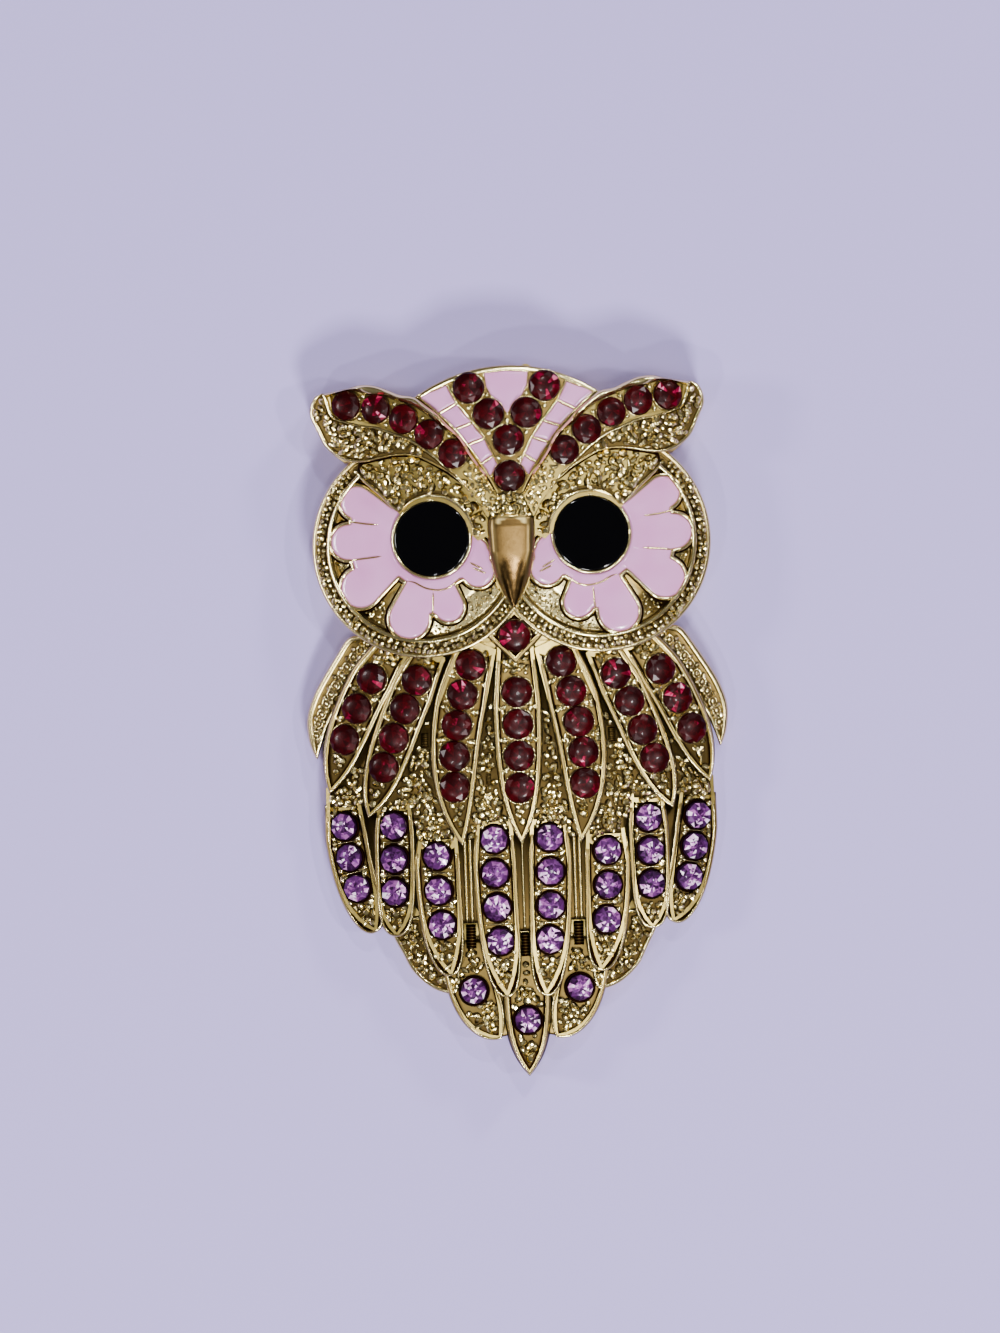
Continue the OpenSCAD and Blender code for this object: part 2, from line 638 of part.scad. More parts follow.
module red_row(i) color("darkred")
    place_on_body(row_places(RED_ROWS[i - 1][0], RED_ROWS[i - 1][1]), row_1_level) cut_stone(red_d);

module purple_row(i) color("mediumpurple")
    place_on_body(row_places(PURPLE_ROWS[i - 1][0], PURPLE_ROWS[i - 1][1]), row_2_level) cut_stone(purple_d);

module brow_stones(side) color("darkred") place_on_head(brow_places(side), brow_level) cut_stone(brow_d);

module forehead_stones() color("darkred") place_on_head(FOREHEAD_PLACES, forehead_level) cut_stone(red_d);

module throat_stone() color("darkred") place_on_body(THROAT_PLACES, throat_level) cut_stone(red_d);

module tail_stones() color("mediumpurple") place_on_body(TAIL_PLACES, tail_mid_level) cut_stone(purple_d);

casting();
pin_finding();
eye(-1);  // eye_left
eye(1);  // eye_right
face_enamel(-1);  // face_enamel_left
face_enamel(1);  // face_enamel_right
crown_enamel() wedge_2d(cell_wall / 2 + enamel_gap);  // forehead_enamel
crown_cells(-1);  // crown_cells_left
crown_cells(1);  // crown_cells_right
brow_stones(-1);  // brow_stones_left
brow_stones(1);  // brow_stones_right
forehead_stones();
throat_stone();
tail_stones();
for (i = [1:7]) red_row(i);
for (i = [1:8]) purple_row(i);
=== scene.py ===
# %% [markdown]
# # An owl brooch with stones and enamel
# The real object is a small hollow casting with raised feathers, plated pale gold. Ruby and amethyst coloured
# rhinestones are glued in rows, and soft pink enamel is poured into cells round two black eyes. The frame
# gives the solids. This script lays the fine relief over them: every piece is a surface worked out with
# numpy.

# %% Load the frame
import math

import bmesh
import bpy
import numpy as np
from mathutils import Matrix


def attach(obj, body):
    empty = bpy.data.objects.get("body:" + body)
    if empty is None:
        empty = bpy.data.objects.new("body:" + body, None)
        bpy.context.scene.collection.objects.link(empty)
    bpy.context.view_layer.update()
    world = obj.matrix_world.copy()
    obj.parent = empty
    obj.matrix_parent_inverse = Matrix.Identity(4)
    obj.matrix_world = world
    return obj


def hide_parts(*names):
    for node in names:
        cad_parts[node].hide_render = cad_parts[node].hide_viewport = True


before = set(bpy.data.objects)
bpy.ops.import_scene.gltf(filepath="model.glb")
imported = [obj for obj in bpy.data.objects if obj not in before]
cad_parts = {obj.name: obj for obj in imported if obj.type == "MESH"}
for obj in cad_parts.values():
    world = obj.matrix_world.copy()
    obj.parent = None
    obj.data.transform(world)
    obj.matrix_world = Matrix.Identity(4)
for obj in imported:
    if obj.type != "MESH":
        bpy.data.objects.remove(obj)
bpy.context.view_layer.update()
MM = 0.001

# %% [markdown]
# ## The camera
# The photograph looks straight down from far away, and the owl lies turned by about two degrees. A long lens
# 0.6 m above gives that flat view. The view is 111.1 mm high at the height of the feathers.

# %% Camera
FRAME_HEIGHT, CAMERA_FAR, FOCUS_Z, SENSOR = 0.1111, 0.6, 0.005, 24.0
camera = bpy.data.objects.new("camera", bpy.data.cameras.new("camera"))
camera.data.sensor_fit = "VERTICAL"
camera.data.sensor_height = SENSOR
camera.data.lens = SENSOR * (CAMERA_FAR - FOCUS_Z) / FRAME_HEIGHT
camera.data.clip_start = 0.01
camera.location = (-1.32 * MM, 4.63 * MM, CAMERA_FAR)
camera.rotation_euler = (0, 0, math.radians(-1.974))
bpy.context.scene.collection.objects.link(camera)
bpy.context.scene.camera = camera
print("lens", round(camera.data.lens, 1), "mm")

# %% [markdown]
# ## Materials
# One function turns a hex colour to linear light, and one adds a node with its settings and links. A piece's
# mesh carries a number at each point, called shade, worked out from the relief: 0 on a polished edge, 1 at
# the bottom of a groove. The materials darken with it as painted shade, so the dark lines follow the shapes
# and not a picture.

# %% Node helpers
def linear(hex_colour):
    """The sRGB hex colour as linear red, green, blue and an alpha of 1."""
    parts = [int(hex_colour[i:i + 2], 16) / 255 for i in (1, 3, 5)]
    return [c / 12.92 if c <= 0.04045 else ((c + 0.055) / 1.055) ** 2.4 for c in parts] + [1.0]


def feed(owner, target, sources):
    """Links sources to a node's sockets by name or number."""
    for name, source in sources.items():
        owner.node_tree.links.new(source, target.inputs[name])


def node(owner, kind, settings=None, inputs=None, links=None):
    """Adds a node: settings are its properties, inputs its sockets' values, links its sockets' sources."""
    made = owner.node_tree.nodes.new(kind)
    for name, value in (settings or {}).items():
        setattr(made, name, value)
    for name, value in (inputs or {}).items():
        made.inputs[name].default_value = value
    feed(owner, made, links or {})
    return made


def material(name, **inputs):
    """A material with only a Principled shader, its sockets set by name; returns it and the shader."""
    made = bpy.data.materials.new(name)
    made.use_nodes = True
    made.node_tree.nodes.clear()
    shader = node(made, "ShaderNodeBsdfPrincipled",
                  inputs={k.replace("_", " "): v for k, v in inputs.items()})
    node(made, "ShaderNodeOutputMaterial", links={"Surface": shader.outputs[0]})
    return made, shader


def noise(owner, size, detail):
    """Noise of a size in mm in the object's own space."""
    place = node(owner, "ShaderNodeTexCoord").outputs["Object"]
    made = node(owner, "ShaderNodeTexNoise", inputs={"Scale": 1 / (size * MM), "Detail": detail},
                links={"Vector": place})
    return made.outputs["Fac"]


def face_number(owner, name):
    """The number that the mesh carries under a name."""
    return node(owner, "ShaderNodeAttribute", {"attribute_name": name}).outputs["Fac"]


def ramp(owner, source, stops):
    """A colour ramp from (place, hex colour) stops."""
    made = node(owner, "ShaderNodeValToRGB", links={"Fac": source})
    while len(made.color_ramp.elements) < len(stops):
        made.color_ramp.elements.new(1.0)
    for element, (place, colour) in zip(made.color_ramp.elements, stops):
        element.position, element.color = place, linear(colour)
    return made.outputs["Color"]


# %% [markdown]
# The metal is a zinc casting, polished and plated with pale gold. Polished edges give near-white glints, and
# the dark lines in the grooves are painted shade. The cast skin is slightly uneven at 0.4 mm.

# %% Gold
# The cast skin: size and depth of its bumps in mm, and how much its roughness varies
SKIN_SIZE, SKIN_DEPTH, SKIN_ROUGHNESS = 0.4, 0.02, 0.12


def gold(name, polished, mid_tone, dark, roughness, bump, dulling=0.35):
    """Plated gold with a fine uneven cast skin: its colour follows the shade number, from polished gold to
    painted shade, and so does its roughness, by dulling."""
    made, shader = material(name, Metallic=1.0)
    shade, skin = face_number(made, "shade"), noise(made, SKIN_SIZE, 3.0)
    rough = node(made, "ShaderNodeMath", {"operation": "MULTIPLY_ADD"},
                 {1: SKIN_ROUGHNESS, 2: roughness - SKIN_ROUGHNESS / 2}, {0: skin})
    rougher = node(made, "ShaderNodeMath", {"operation": "MULTIPLY_ADD"}, {1: dulling},
                   {0: shade, 2: rough.outputs[0]})
    bumped = node(made, "ShaderNodeBump", inputs={"Strength": bump, "Distance": SKIN_DEPTH * MM},
                  links={"Height": skin})
    feed(made, shader, {"Base Color": ramp(made, shade, [(0.0, polished), (0.45, mid_tone), (1.0, dark)]),
                        "Roughness": rougher.outputs[0], "Normal": bumped.outputs[0]})
    return made


# Ramp colours: polished gold, the middle tone, and the darkest painted shade in the grooves.
GOLD = gold("gold_plate_polished", "#FAE8A4", "#8A7440", "#140602", 0.15, 0.5)
# The beak's gold: its darkest colour is a painted reflection of the dim room, and its roughness falls as it
# darkens.
PAINTED_MIRROR_GOLD = gold("gold_plate_painted_mirror", "#E8D08C", "#66502C", "#2C1C10", 0.52, 0.3, -0.44)
CAST = gold("gold_plate_as_cast", "#C4AC60", "#8A7440", "#140602", 0.3, 0.6)

# %% [markdown]
# The stones are foiled glass: cut glass with a mirror behind it. From above each small field shows a
# different part of the mirror, so fields flash or go dark. These flashes and dark fields are painted
# reflections: every field carries its own number, and a ramp turns it from the dark to the bright colour of
# the glass. A smooth clear coat gives the sharp white points of the lights.

# %% Stones, enamel, eyes and steel
def foiled_glass(name, stops, foil, coat):
    """Glass over foil: the colour of each field, a painted reflection, comes from its own number, under a
    clear gloss.
    """
    made, shader = material(name, Metallic=foil, Roughness=0.3, IOR=1.5, Specular_IOR_Level=0.1,
                            Coat_Weight=coat, Coat_Roughness=0.02)
    feed(made, shader, {"Base Color": ramp(made, face_number(made, "painted_flash"), stops)})
    return made


RUBY = foiled_glass("ruby_foiled_glass", [
    (0.0, "#0E0001"), (0.45, "#220002"), (0.72, "#390005"), (0.9, "#9C0A40"), (1.0, "#FF9CC0")], 0.1, 0.06)
AMETHYST = foiled_glass("amethyst_foiled_glass", [
    (0.0, "#0A0210"), (0.28, "#280A2E"), (0.55, "#562660"), (0.78, "#A662A4"), (0.9, "#F6C0F2"),
    (1.0, "#FFF2FF")], 0.3, 0.13)
ENAMEL, enamel_shader = material("soft_enamel_pink", Roughness=0.12, IOR=1.5)
cloud = noise(ENAMEL, 3, 1.0)
feed(ENAMEL, enamel_shader, {"Base Color": ramp(ENAMEL, cloud, [(0.35, "#C483B6"), (0.65, "#CA8DBE")])})
JET, _ = material("black_glass", Base_Color=linear("#010102"), Roughness=0.05, IOR=1.45,
                  Specular_IOR_Level=0.3)
STEEL, steel_shader = material("plated_steel", Metallic=1.0)
brush = noise(STEEL, 0.8, 2.0)
rubbed = node(STEEL, "ShaderNodeMapRange", inputs={"To Min": 0.22, "To Max": 0.36}, links={"Value": brush})
feed(STEEL, steel_shader, {"Base Color": ramp(STEEL, brush, [(0.3, "#B9B6B0"), (0.7, "#D2CFC8")]),
                           "Roughness": rubbed.outputs[0]})
print("materials", len(bpy.data.materials))

# %% [markdown]
# ## The two curved grounds
# The body and the head are both cut from wide cylinders lying along the owl: the front bulges across and
# falls slightly to the tail and to the crown. Every piece asks these two functions for the height under it,
# so nothing has to be fitted by eye. The sizes are the CAD model's own.

# %% Grounds
WING_W, COAT_L, CHIN_Y, DOME_R = 16.0, 35.0, 5.45, 41.0
BODY_CREST, BODY_FALL = 5.6, math.radians(3)
HEAD_CREST, HEAD_FALL, FACE_Y = 7.9, math.radians(-2), 14.85
ROW_STEP, FACE_X = 0.7, 7.35
ROW_2_LEVEL, ROW_1_LEVEL = ROW_STEP, 2 * ROW_STEP


def cylinder_height(xy, level, crest, fall, middle_y):
    """Height of the cylinder's skin over (x, y): its crest line, tilted by fall, less the arc's drop at x."""
    arc = np.sqrt((DOME_R + level) ** 2 - xy[..., 0] ** 2) - DOME_R
    return crest + (xy[..., 1] - middle_y) * math.tan(fall) + arc / math.cos(fall)


def on_body(xy, level=0.0):
    """Height of the body's ground, raised by level along the cylinder's radius."""
    return cylinder_height(xy, level, BODY_CREST, BODY_FALL, CHIN_Y)


def on_head(xy, level=0.0):
    """Height of the head's ground, raised by level along the cylinder's radius."""
    return cylinder_height(xy, level, HEAD_CREST, HEAD_FALL, FACE_Y)


SURFACES = {on_body: BODY_FALL, on_head: HEAD_FALL}


def tilt(xy, ground):
    """Matrices that stand things upright on a ground: turn about Y by x over the radius, then about X by its
    fall."""
    across = np.arcsin(xy[:, 0] / DOME_R)
    c, s, cf, sf = np.cos(across), np.sin(across), math.cos(SURFACES[ground]), math.sin(SURFACES[ground])
    zero = np.zeros_like(c)
    return np.stack([
        np.stack([c, zero, s], -1),
        np.stack([sf * s, zero + cf, -sf * c], -1),
        np.stack([-cf * s, zero + sf, cf * c], -1),
    ], 1)


# %% [markdown]
# ## From arrays to pieces
# A surface is a grid of points, rows by columns. One function joins its rows with quads. Another gathers the
# grids of a piece, welds seams and poles, turns every face outwards and hands the piece to the frame.

# %% Mesh helpers
# Least height of a piece above the floor, in mm
FLOOR_GAP = 0.02


def quads(rows, columns, wrap=True):
    """Quads between neighbouring rows of a grid; with wrap the last column meets the first."""
    r = np.arange(rows - 1)[:, None]
    c = np.arange(columns if wrap else columns - 1)[None, :]
    a, b = r * columns + c, r * columns + (c + 1) % columns
    return np.stack([a, b, b + columns, a + columns], -1).reshape(-1, 4)


def sheet_of(points, shade, wrap=True):
    """One surface: points (rows, columns, 3) in mm and a shade number for each row or point."""
    shade = np.broadcast_to(np.asarray(shade, float).reshape(-1, 1) if np.ndim(shade) == 1 else shade,
                            points.shape[:2])
    return points.reshape(-1, 3), quads(*points.shape[:2], wrap), shade.reshape(-1)


def piece(name, surfaces, look, smooth=True, nodes=(), attribute="shade"):
    """Makes one object of many surfaces: points in mm to metres, doubles welded, normals outwards. A face's
    number of painted reflection of 2 or more also marks it as smooth."""
    counts = np.cumsum([0] + [len(s[0]) for s in surfaces])
    points = np.concatenate([s[0] for s in surfaces]) * MM
    points[:, 2] = np.maximum(points[:, 2], FLOOR_GAP * MM)
    faces = [f for s, start in zip(surfaces, counts) for f in (s[1] + start).tolist()]
    mesh = bpy.data.meshes.new(name)
    mesh.from_pydata(points, [], faces)
    values = mesh.attributes.new(attribute, "FLOAT", "POINT" if attribute == "shade" else "FACE")
    values.data.foreach_set("value", np.concatenate([s[2] for s in surfaces]).astype(np.float32))
    work = bmesh.new()
    work.from_mesh(mesh)
    bmesh.ops.remove_doubles(work, verts=work.verts, dist=0.0005 * MM)
    bmesh.ops.dissolve_degenerate(work, dist=0.0002 * MM, edges=work.edges)
    bmesh.ops.recalc_face_normals(work, faces=work.faces)
    work.to_mesh(mesh)
    work.free()
    rounded = np.full(len(mesh.polygons), smooth)
    if attribute == "painted_flash":
        numbers = np.empty(len(mesh.polygons), np.float32)
        mesh.attributes[attribute].data.foreach_get("value", numbers)
        rounded = numbers >= 2
        mesh.attributes[attribute].data.foreach_set("value", np.where(rounded, numbers - 2, numbers))
    mesh.polygons.foreach_set("use_smooth", rounded)
    made = bpy.data.objects.new(name, mesh)
    bpy.context.scene.collection.objects.link(made)
    mesh.materials.append(look)
    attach(made, "root")
    if nodes:
        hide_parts(*nodes)
    print(f"{name}: {sum(len(p.vertices) - 2 for p in mesh.polygons)} triangles")


def gold_piece(name, surfaces, smooth=True):
    """A piece of polished gold plate."""
    piece(name, surfaces, GOLD, smooth)


def lift(xy, ground, level):
    """Adds the ground's height to plan points (rows, columns, 2); level is a number or an array of that
    shape."""
    return np.concatenate([xy, ground(xy, level)[..., None]], -1)


# %% [markdown]
# ## Plan curves
# The plan of the owl is told in shares of a few lengths, as in the CAD source: the wing's half width and the
# coat's length for the body. Curves through chosen points are made smooth by a spline that passes through
# each of them.

# %% Plan helpers
def coat(points):
    """Shares of wing and coat to millimetres."""
    p = np.asarray(points, float)
    return np.stack([p[..., 0] * WING_W, CHIN_Y - p[..., 1] * COAT_L], -1)


def circle(count):
    """Points on a unit circle."""
    turn = np.arange(count) * 2 * math.pi / count
    return np.stack([np.cos(turn), np.sin(turn)], -1)


def flip(xy, side):
    """The plan points on the right (1) or mirrored to the left (-1)."""
    return xy * np.array([side, 1.0])


def resampled(path, count, closed):
    """Points at even steps along a path; with closed the last one stays a step short of its end."""
    run = np.concatenate([[0], np.cumsum(np.linalg.norm(np.diff(path, axis=0), axis=1))])
    at = np.linspace(0, run[-1], count, endpoint=not closed)
    return np.stack([np.interp(at, run, path[:, k]) for k in range(2)], -1)


def subdivided(corners, count):
    """A closed outline with count points on each of its straight sides."""
    sides = zip(corners, np.roll(corners, -1, 0))
    return np.concatenate([np.linspace(a, b, count, endpoint=False) for a, b in sides])


def smooth_path(points, count, closed=False):
    """Catmull-Rom spline through the points, resampled to count points at even steps of its length."""
    p = np.asarray(points, float)
    before, after = (p[-1:], p[:2]) if closed else (2 * p[:1] - p[1:2], 2 * p[-1:] - p[-2:-1])
    q = np.concatenate([before, p, after])
    t = np.linspace(0, 1, 16, endpoint=False)[None, :, None]
    a, b, c, d = (q[i:len(q) - 3 + i, None, :] for i in range(4))
    fine = 0.5 * (2 * b + (c - a) * t + (2 * a - 5 * b + 4 * c - d) * t ** 2
                  + (3 * b - a - 3 * c + d) * t ** 3)
    return resampled(np.concatenate([fine.reshape(-1, 2), q[-2:-1]]), count, closed)


def left_normals(path, closed=False):
    """Unit normals on the left of a path of plan points."""
    step = np.roll(path, -1, 0) - np.roll(path, 1, 0) if closed else np.gradient(path, axis=0)
    step /= np.linalg.norm(step, axis=1, keepdims=True)
    return np.stack([-step[:, 1], step[:, 0]], -1)


def edge_distance(xy, outline):
    """Distance from each point to a closed outline, positive inside: nearest of its segments, sign by
    crossings."""
    a, b = outline[None], np.roll(outline, -1, 0)[None]
    p = xy[:, None]
    run = b - a
    t = np.clip(((p - a) * run).sum(-1) / (run ** 2).sum(-1), 0, 1)[..., None]
    near = np.linalg.norm(p - a - run * t, axis=-1).min(1)
    rising = (a[..., 1] > p[..., 1]) != (b[..., 1] > p[..., 1])
    with np.errstate(divide="ignore", invalid="ignore"):
        cross = a[..., 0] + (p[..., 1] - a[..., 1]) / run[..., 1] * run[..., 0]
    inside = (rising & (p[..., 0] < cross)).sum(1) % 2 == 1
    return np.where(inside, near, -near)


# %% [markdown]
# ## Small shapes that repeat
# Grains are small angular domes half sunk in the ground, set on a loose honeycomb. Raised lines are a
# half-round profile carried along a path and closed at both ends. Plates are closed slabs whose top follows a
# profile of inset and height, as a leaf with a rolled rim does.

# %% Grains, lines and plates
def lathe(profile, columns):
    """Points of rings round an axis, one ring for each (radius, height) of the profile."""
    flat = profile[:, None, :1] * circle(columns)
    return np.concatenate([flat, np.broadcast_to(profile[:, None, 1:], (*flat.shape[:2], 1))],
                          -1).reshape(-1, 3)


def copies(unit, faces, places, ground, level, size=1.0, own=None):
    """Copies of a shape, each sized, turned by its own matrix and stood upright on the ground at its
    place."""
    matrix = tilt(places, ground)
    if own is not None:
        matrix = matrix @ own
    matrix = matrix * np.broadcast_to(size, len(places))[:, None, None]
    centre = np.concatenate([places, ground(places, level)[:, None]], -1)
    points = centre[:, None] + np.einsum("nij,kj->nki", matrix, unit)
    faces = faces[None] + np.arange(len(places))[:, None, None] * len(unit)
    return points.reshape(-1, 3), faces.reshape(-1, faces.shape[-1])


def own_turns(spin, lean, stretch):
    """Matrices that turn by spin, stretch one way and lean to two sides."""
    c, s = np.cos(spin), np.sin(spin)
    return np.stack([np.stack([c * stretch, -s / stretch, lean[:, 0]], -1),
                     np.stack([s * stretch, c / stretch, lean[:, 1]], -1),
                     np.stack([-lean[:, 0], -lean[:, 1], np.ones(len(spin))], -1)], 1)


def sized(xy, middle, seed):
    """Radii about a middle value, drawn from a seed."""
    return middle * (1 + 0.22 * np.random.default_rng(seed).uniform(-1, 1, len(xy)))


def balls(xy, radius, ground, level):
    """Closed balls of 8 columns, a little flat, with their middles on the ground, painted darker towards
    their foot as painted shade.
    """
    lat = np.linspace(-0.5, 0.5, 6) * math.pi
    unit = lathe(np.stack([np.cos(lat), np.sin(lat) * 0.8], -1), 8)
    points, faces = copies(unit, quads(6, 8), xy, ground, level, radius)
    return points, faces, np.tile(np.interp(unit[:, 2], [0.1, 0.6], [0.75, 0.0]), len(xy))


GRAIN = np.array([[0, -0.8], [1, -0.8], [1, 0.1], [0.8, 0.55], [0.45, 0.8], [0, 0.84]])


def flakes(xy, middle, ground, level, seeds, loose=1.0):
    """Closed angular grains: a low seven-sided dome of three tiers, each one turned, stretched and leaned by
    its own draw times loose. The seeds are for the radii and for the rest. Each grain is painted darker
    towards its foot as painted shade, and every grain adds its own number to the shade, so that some stay
    dull."""
    radius = sized(xy, middle, seeds[0])
    rng = np.random.default_rng(seeds[1])
    n = len(xy)
    unit = lathe(GRAIN, 7)
    spin, stretch = rng.uniform(0, 2 * math.pi, n), np.exp(0.2 * loose * rng.normal(0, 1, n))
    lean = 0.24 * loose * rng.normal(0, 1, (n, 2))
    points, faces = copies(unit, quads(6, 7), xy, ground, level, radius, own_turns(spin, lean, stretch))
    shade = (np.interp(unit[:, 2], [0.1, 0.5], [0.85, 0.0])[None]
             + 0.3 * loose * rng.uniform(0, 1, (n, 1)) ** 2)
    return points, faces, np.clip(shade, 0, 1).reshape(-1)


def scatter(outlines, spacing, seed, inset=0.0, clear=(), holes=(), jitter=0.16):
    """Places on a honeycomb, shaken by a seeded draw, inside an outline and clear of circles and other
    outlines."""
    low = np.min([o.min(0) for o in outlines], 0)
    high = np.max([o.max(0) for o in outlines], 0)
    nx, ny = ((high - low) / [spacing, spacing * 0.866]).astype(int) + 2
    grid = np.stack(np.meshgrid(np.arange(nx), np.arange(ny)), -1).reshape(-1, 2).astype(float)
    grid[:, 0] += 0.5 * (grid[:, 1] % 2)
    xy = low + grid * [spacing, spacing * 0.866]
    xy += np.random.default_rng(seed).normal(0, jitter * spacing, xy.shape)
    keep = np.max([edge_distance(xy, o) for o in outlines], 0) > inset
    for places, room in clear:
        keep &= np.linalg.norm(xy[:, None] - places[None], axis=-1).min(1) > room
    for hole, room in holes:
        keep &= edge_distance(xy, hole) < -room
    return xy[keep]


HALF_ROUND = np.array([[-1.0, -2.2], [-1.0, 0.0], [-0.8, 0.55], [-0.4, 0.9], [0.0, 1.0], [0.4, 0.9],
                       [0.8, 0.55], [1.0, 0.0], [1.0, -2.2]])


def capped(rows):
    """The rows of a surface with one more at each end, drawn together to the middle of the end row."""
    return np.concatenate([rows[:1].mean(1, keepdims=True) + 0 * rows[:1], rows,
                           rows[-1:].mean(1, keepdims=True) + 0 * rows[-1:]])


def line(path, width, height, ground, level, closed=False, taper=0.0):
    """A half-round profile carried along a path; taper narrows the ends of an open one to a point. Its sides
    are painted darker than its top, painted shade.
    """
    normal = left_normals(path, closed)
    size = np.ones(len(path))
    if taper:
        run = np.linspace(0, 1, len(path))
        size = np.sqrt(np.clip(np.minimum(run, 1 - run) / taper, 0.02, 1))
    across = HALF_ROUND[:, 0, None, None] * width / 2 * size[:, None] * normal[None]
    up = np.broadcast_to(HALF_ROUND[:, 1, None] * height * size, (len(HALF_ROUND), len(path)))
    xy = path[None] + across
    points = np.concatenate([xy, (ground(xy, level) + up)[..., None]], -1)
    shade = np.interp(HALF_ROUND[:, 1], [0.0, 0.6], [0.85, 0.0])
    if closed:
        return sheet_of(np.concatenate([points, points[:1]]), np.append(shade, shade[0]))
    ends = capped(points.transpose(1, 0, 2))
    return sheet_of(ends, np.broadcast_to(shade, ends.shape[:2]))


def plate(rings, heights, shades, ground, level, depth, spine, foot=1.0):
    """A closed slab: the outermost ring drops by depth to the foot, the rings climb the profile, and the last
    one and the foot are drawn together along the spine, a plan path with one point for each point of a ring.
    Heights and shades are one for each ring, or one for each of its points too; foot is the shade of the
    foot."""
    fill = [rings[-1] * q + spine * (1 - q) for q in (0.66, 0.33, 0.0)]
    xy = np.stack([spine, rings[0], *rings, *fill])
    up, shade = (np.concatenate([np.full((2, len(spine)), low), values, np.repeat(values[-1:], 3, 0)])
                 for low, values in ((-depth, per_point(heights, spine)), (foot, per_point(shades, spine))))
    return sheet_of(lift(xy, ground, level + up), shade)


def per_point(values, spine):
    """One row of values for each ring, spread over its points."""
    return np.broadcast_to(np.reshape(values, (len(values), -1)), (len(values), len(spine)))


def shrunk(loop, insets):
    """Rings of an outline moved by insets towards its middle, and the middle as their spine."""
    middle = loop.mean(0)
    reach = np.linalg.norm(loop - middle, axis=1, keepdims=True)
    return ([middle + (loop - middle) * (1 - inset / reach) for inset in insets],
            np.broadcast_to(middle, loop.shape))


def offset_rings(outline, insets):
    """Rings of a closed outline moved inwards along its normals; the outline runs counterclockwise."""
    normal = left_normals(outline, True)
    return [outline + normal * inset for inset in insets]


def tube_ring(places, radius, width, height, ground, level, columns=28):
    """Rings of half-round wire lying round each place: the profile turned about the place's own axis, painted
    darker at its foot as painted shade.
    """
    rim = np.stack([radius + HALF_ROUND[:, 0] * width / 2, HALF_ROUND[:, 1] * height], -1)
    unit = lathe(np.concatenate([rim, rim[:1]]), columns)
    points, faces = copies(unit, quads(len(rim) + 1, columns), places, ground, level)
    shade = np.interp(HALF_ROUND[:, 1], [0.0, 0.6], [0.9, 0.0])
    return points, faces, np.tile(np.repeat(np.append(shade, shade[0]), columns), len(places))


# %% [markdown]
# ## Feathers
# A feather is a leaf along a bent line: half width shrinks towards the tip by a power law, so a large power
# gives a blunt tip. Its rim is a raised band, dull along its middle at the root and one bright line at the
# tip, with a groove inside and a foot outside painted dark as painted shade, which the profile below gives as
# inset, height and shade. Rows of rings inside each other follow the outline, so the rim stays crisp on few
# faces.

# %% Feather shapes
# Columns: root x, root y, bend x, bend y, tip x, tip y, width share, bluntness, stones, first, last
ROW_1 = [
    [0, -0.033, 0, 0.207, 0, 0.447, 1.1, 5, 4, 0.245, 0.72],
    [0.189, -0.035, 0.406, 0.194, 0.306, 0.447, 1.18, 4.5, 5, 0.112, 0.718],
    [0.438, -0.02, 0.61, 0.123, 0.794, 0.373, 1, 8, 4, 0.221, 0.747],
    [0.62, -0.035, 0.844, 0.073, 0.994, 0.313, 1, 7, 3, 0.3, 0.71],
]
ROW_2 = [
    [0.1375, 0.327, 0.1625, 0.584, 0.1, 0.811, 1.02, 6, 4, 0.21, 0.71],
    [0.431, 0.356, 0.469, 0.57, 0.39, 0.756, 1.08, 5, 3, 0.27, 0.68],
    [0.656, 0.299, 0.669, 0.484, 0.669, 0.659, 0.95, 8, 3, 0.26, 0.7],
    [0.931, 0.299, 0.925, 0.513, 0.775, 0.647, 1.02, 5, 3, 0.23, 0.64],
]
TAIL_SIDE = [0.3125, 0.641, 0.325, 0.813, 0.144, 0.91, 1.2, 5, 1, 0.5, 0.5]
TAIL_MID = [0, 0.67, 0, 0.841, 0, 1, 1.08, 5, 1, 0.589, 0.589]
RED_D, PURPLE_D, FEATHER_EDGE = 2.42, 2.35, 0.55
# Rim profile, columns: inset from the edge, height and shade at the root, height and shade at the tip
RIM = np.array([
    [-0.15, -0.30, 1.0, -0.30, 1.0], [-0.10, 0.10, 1.0, 0.00, 1.0], [-0.06, 0.28, 0.7, 0.14, 1.0],
    [0.02, 0.39, 0.1, 0.37, 0.2], [0.08, 0.405, 0.5, 0.44, 0.0], [0.14, 0.405, 0.54, 0.43, 0.0],
    [0.19, 0.405, 0.52, 0.35, 0.2], [0.24, 0.40, 0.1, 0.12, 0.9], [0.29, 0.36, 0.0, 0.05, 1.0],
    [0.32, 0.20, 0.8, 0.05, 1.0], [0.36, 0.06, 1.0, 0.05, 1.0], [0.46, 0.05, 1.0, 0.05, 1.0],
    [0.54, 0.06, 0.8, 0.06, 0.95], [0.72, 0.05, 0.7, 0.05, 0.88],
])


def bezier(f, t):
    """Place on the feather's middle line: root, bend and tip weighted by (1-t)^2, 2t(1-t) and t^2."""
    t = t[:, None]
    return (1 - t) ** 2 * f[0] + 2 * t * (1 - t) * f[1] + t ** 2 * f[2]


def heading(f, t):
    """Unit direction of the middle line, from root to tip."""
    d = (1 - t[:, None]) * (f[1] - f[0]) + t[:, None] * (f[2] - f[1])
    return d / np.linalg.norm(d, axis=1, keepdims=True)


def feather(row, d, side):
    """Root, bend and tip in mm, the half width and the bluntness."""
    root, bend, tip = (flip(coat(row[i:i + 2]), side) for i in (0, 2, 4))
    return root, bend, tip, (d / 2 + FEATHER_EDGE) * row[6], row[7]


def round_tip(row):
    """The power that rounds a feather's tip: under 1 on the flank and the tail's sides, whose tips are
    round."""
    return 0.44 if any(row is other for other in ROW_2) else 0.72 if row is TAIL_SIDE else 1.0


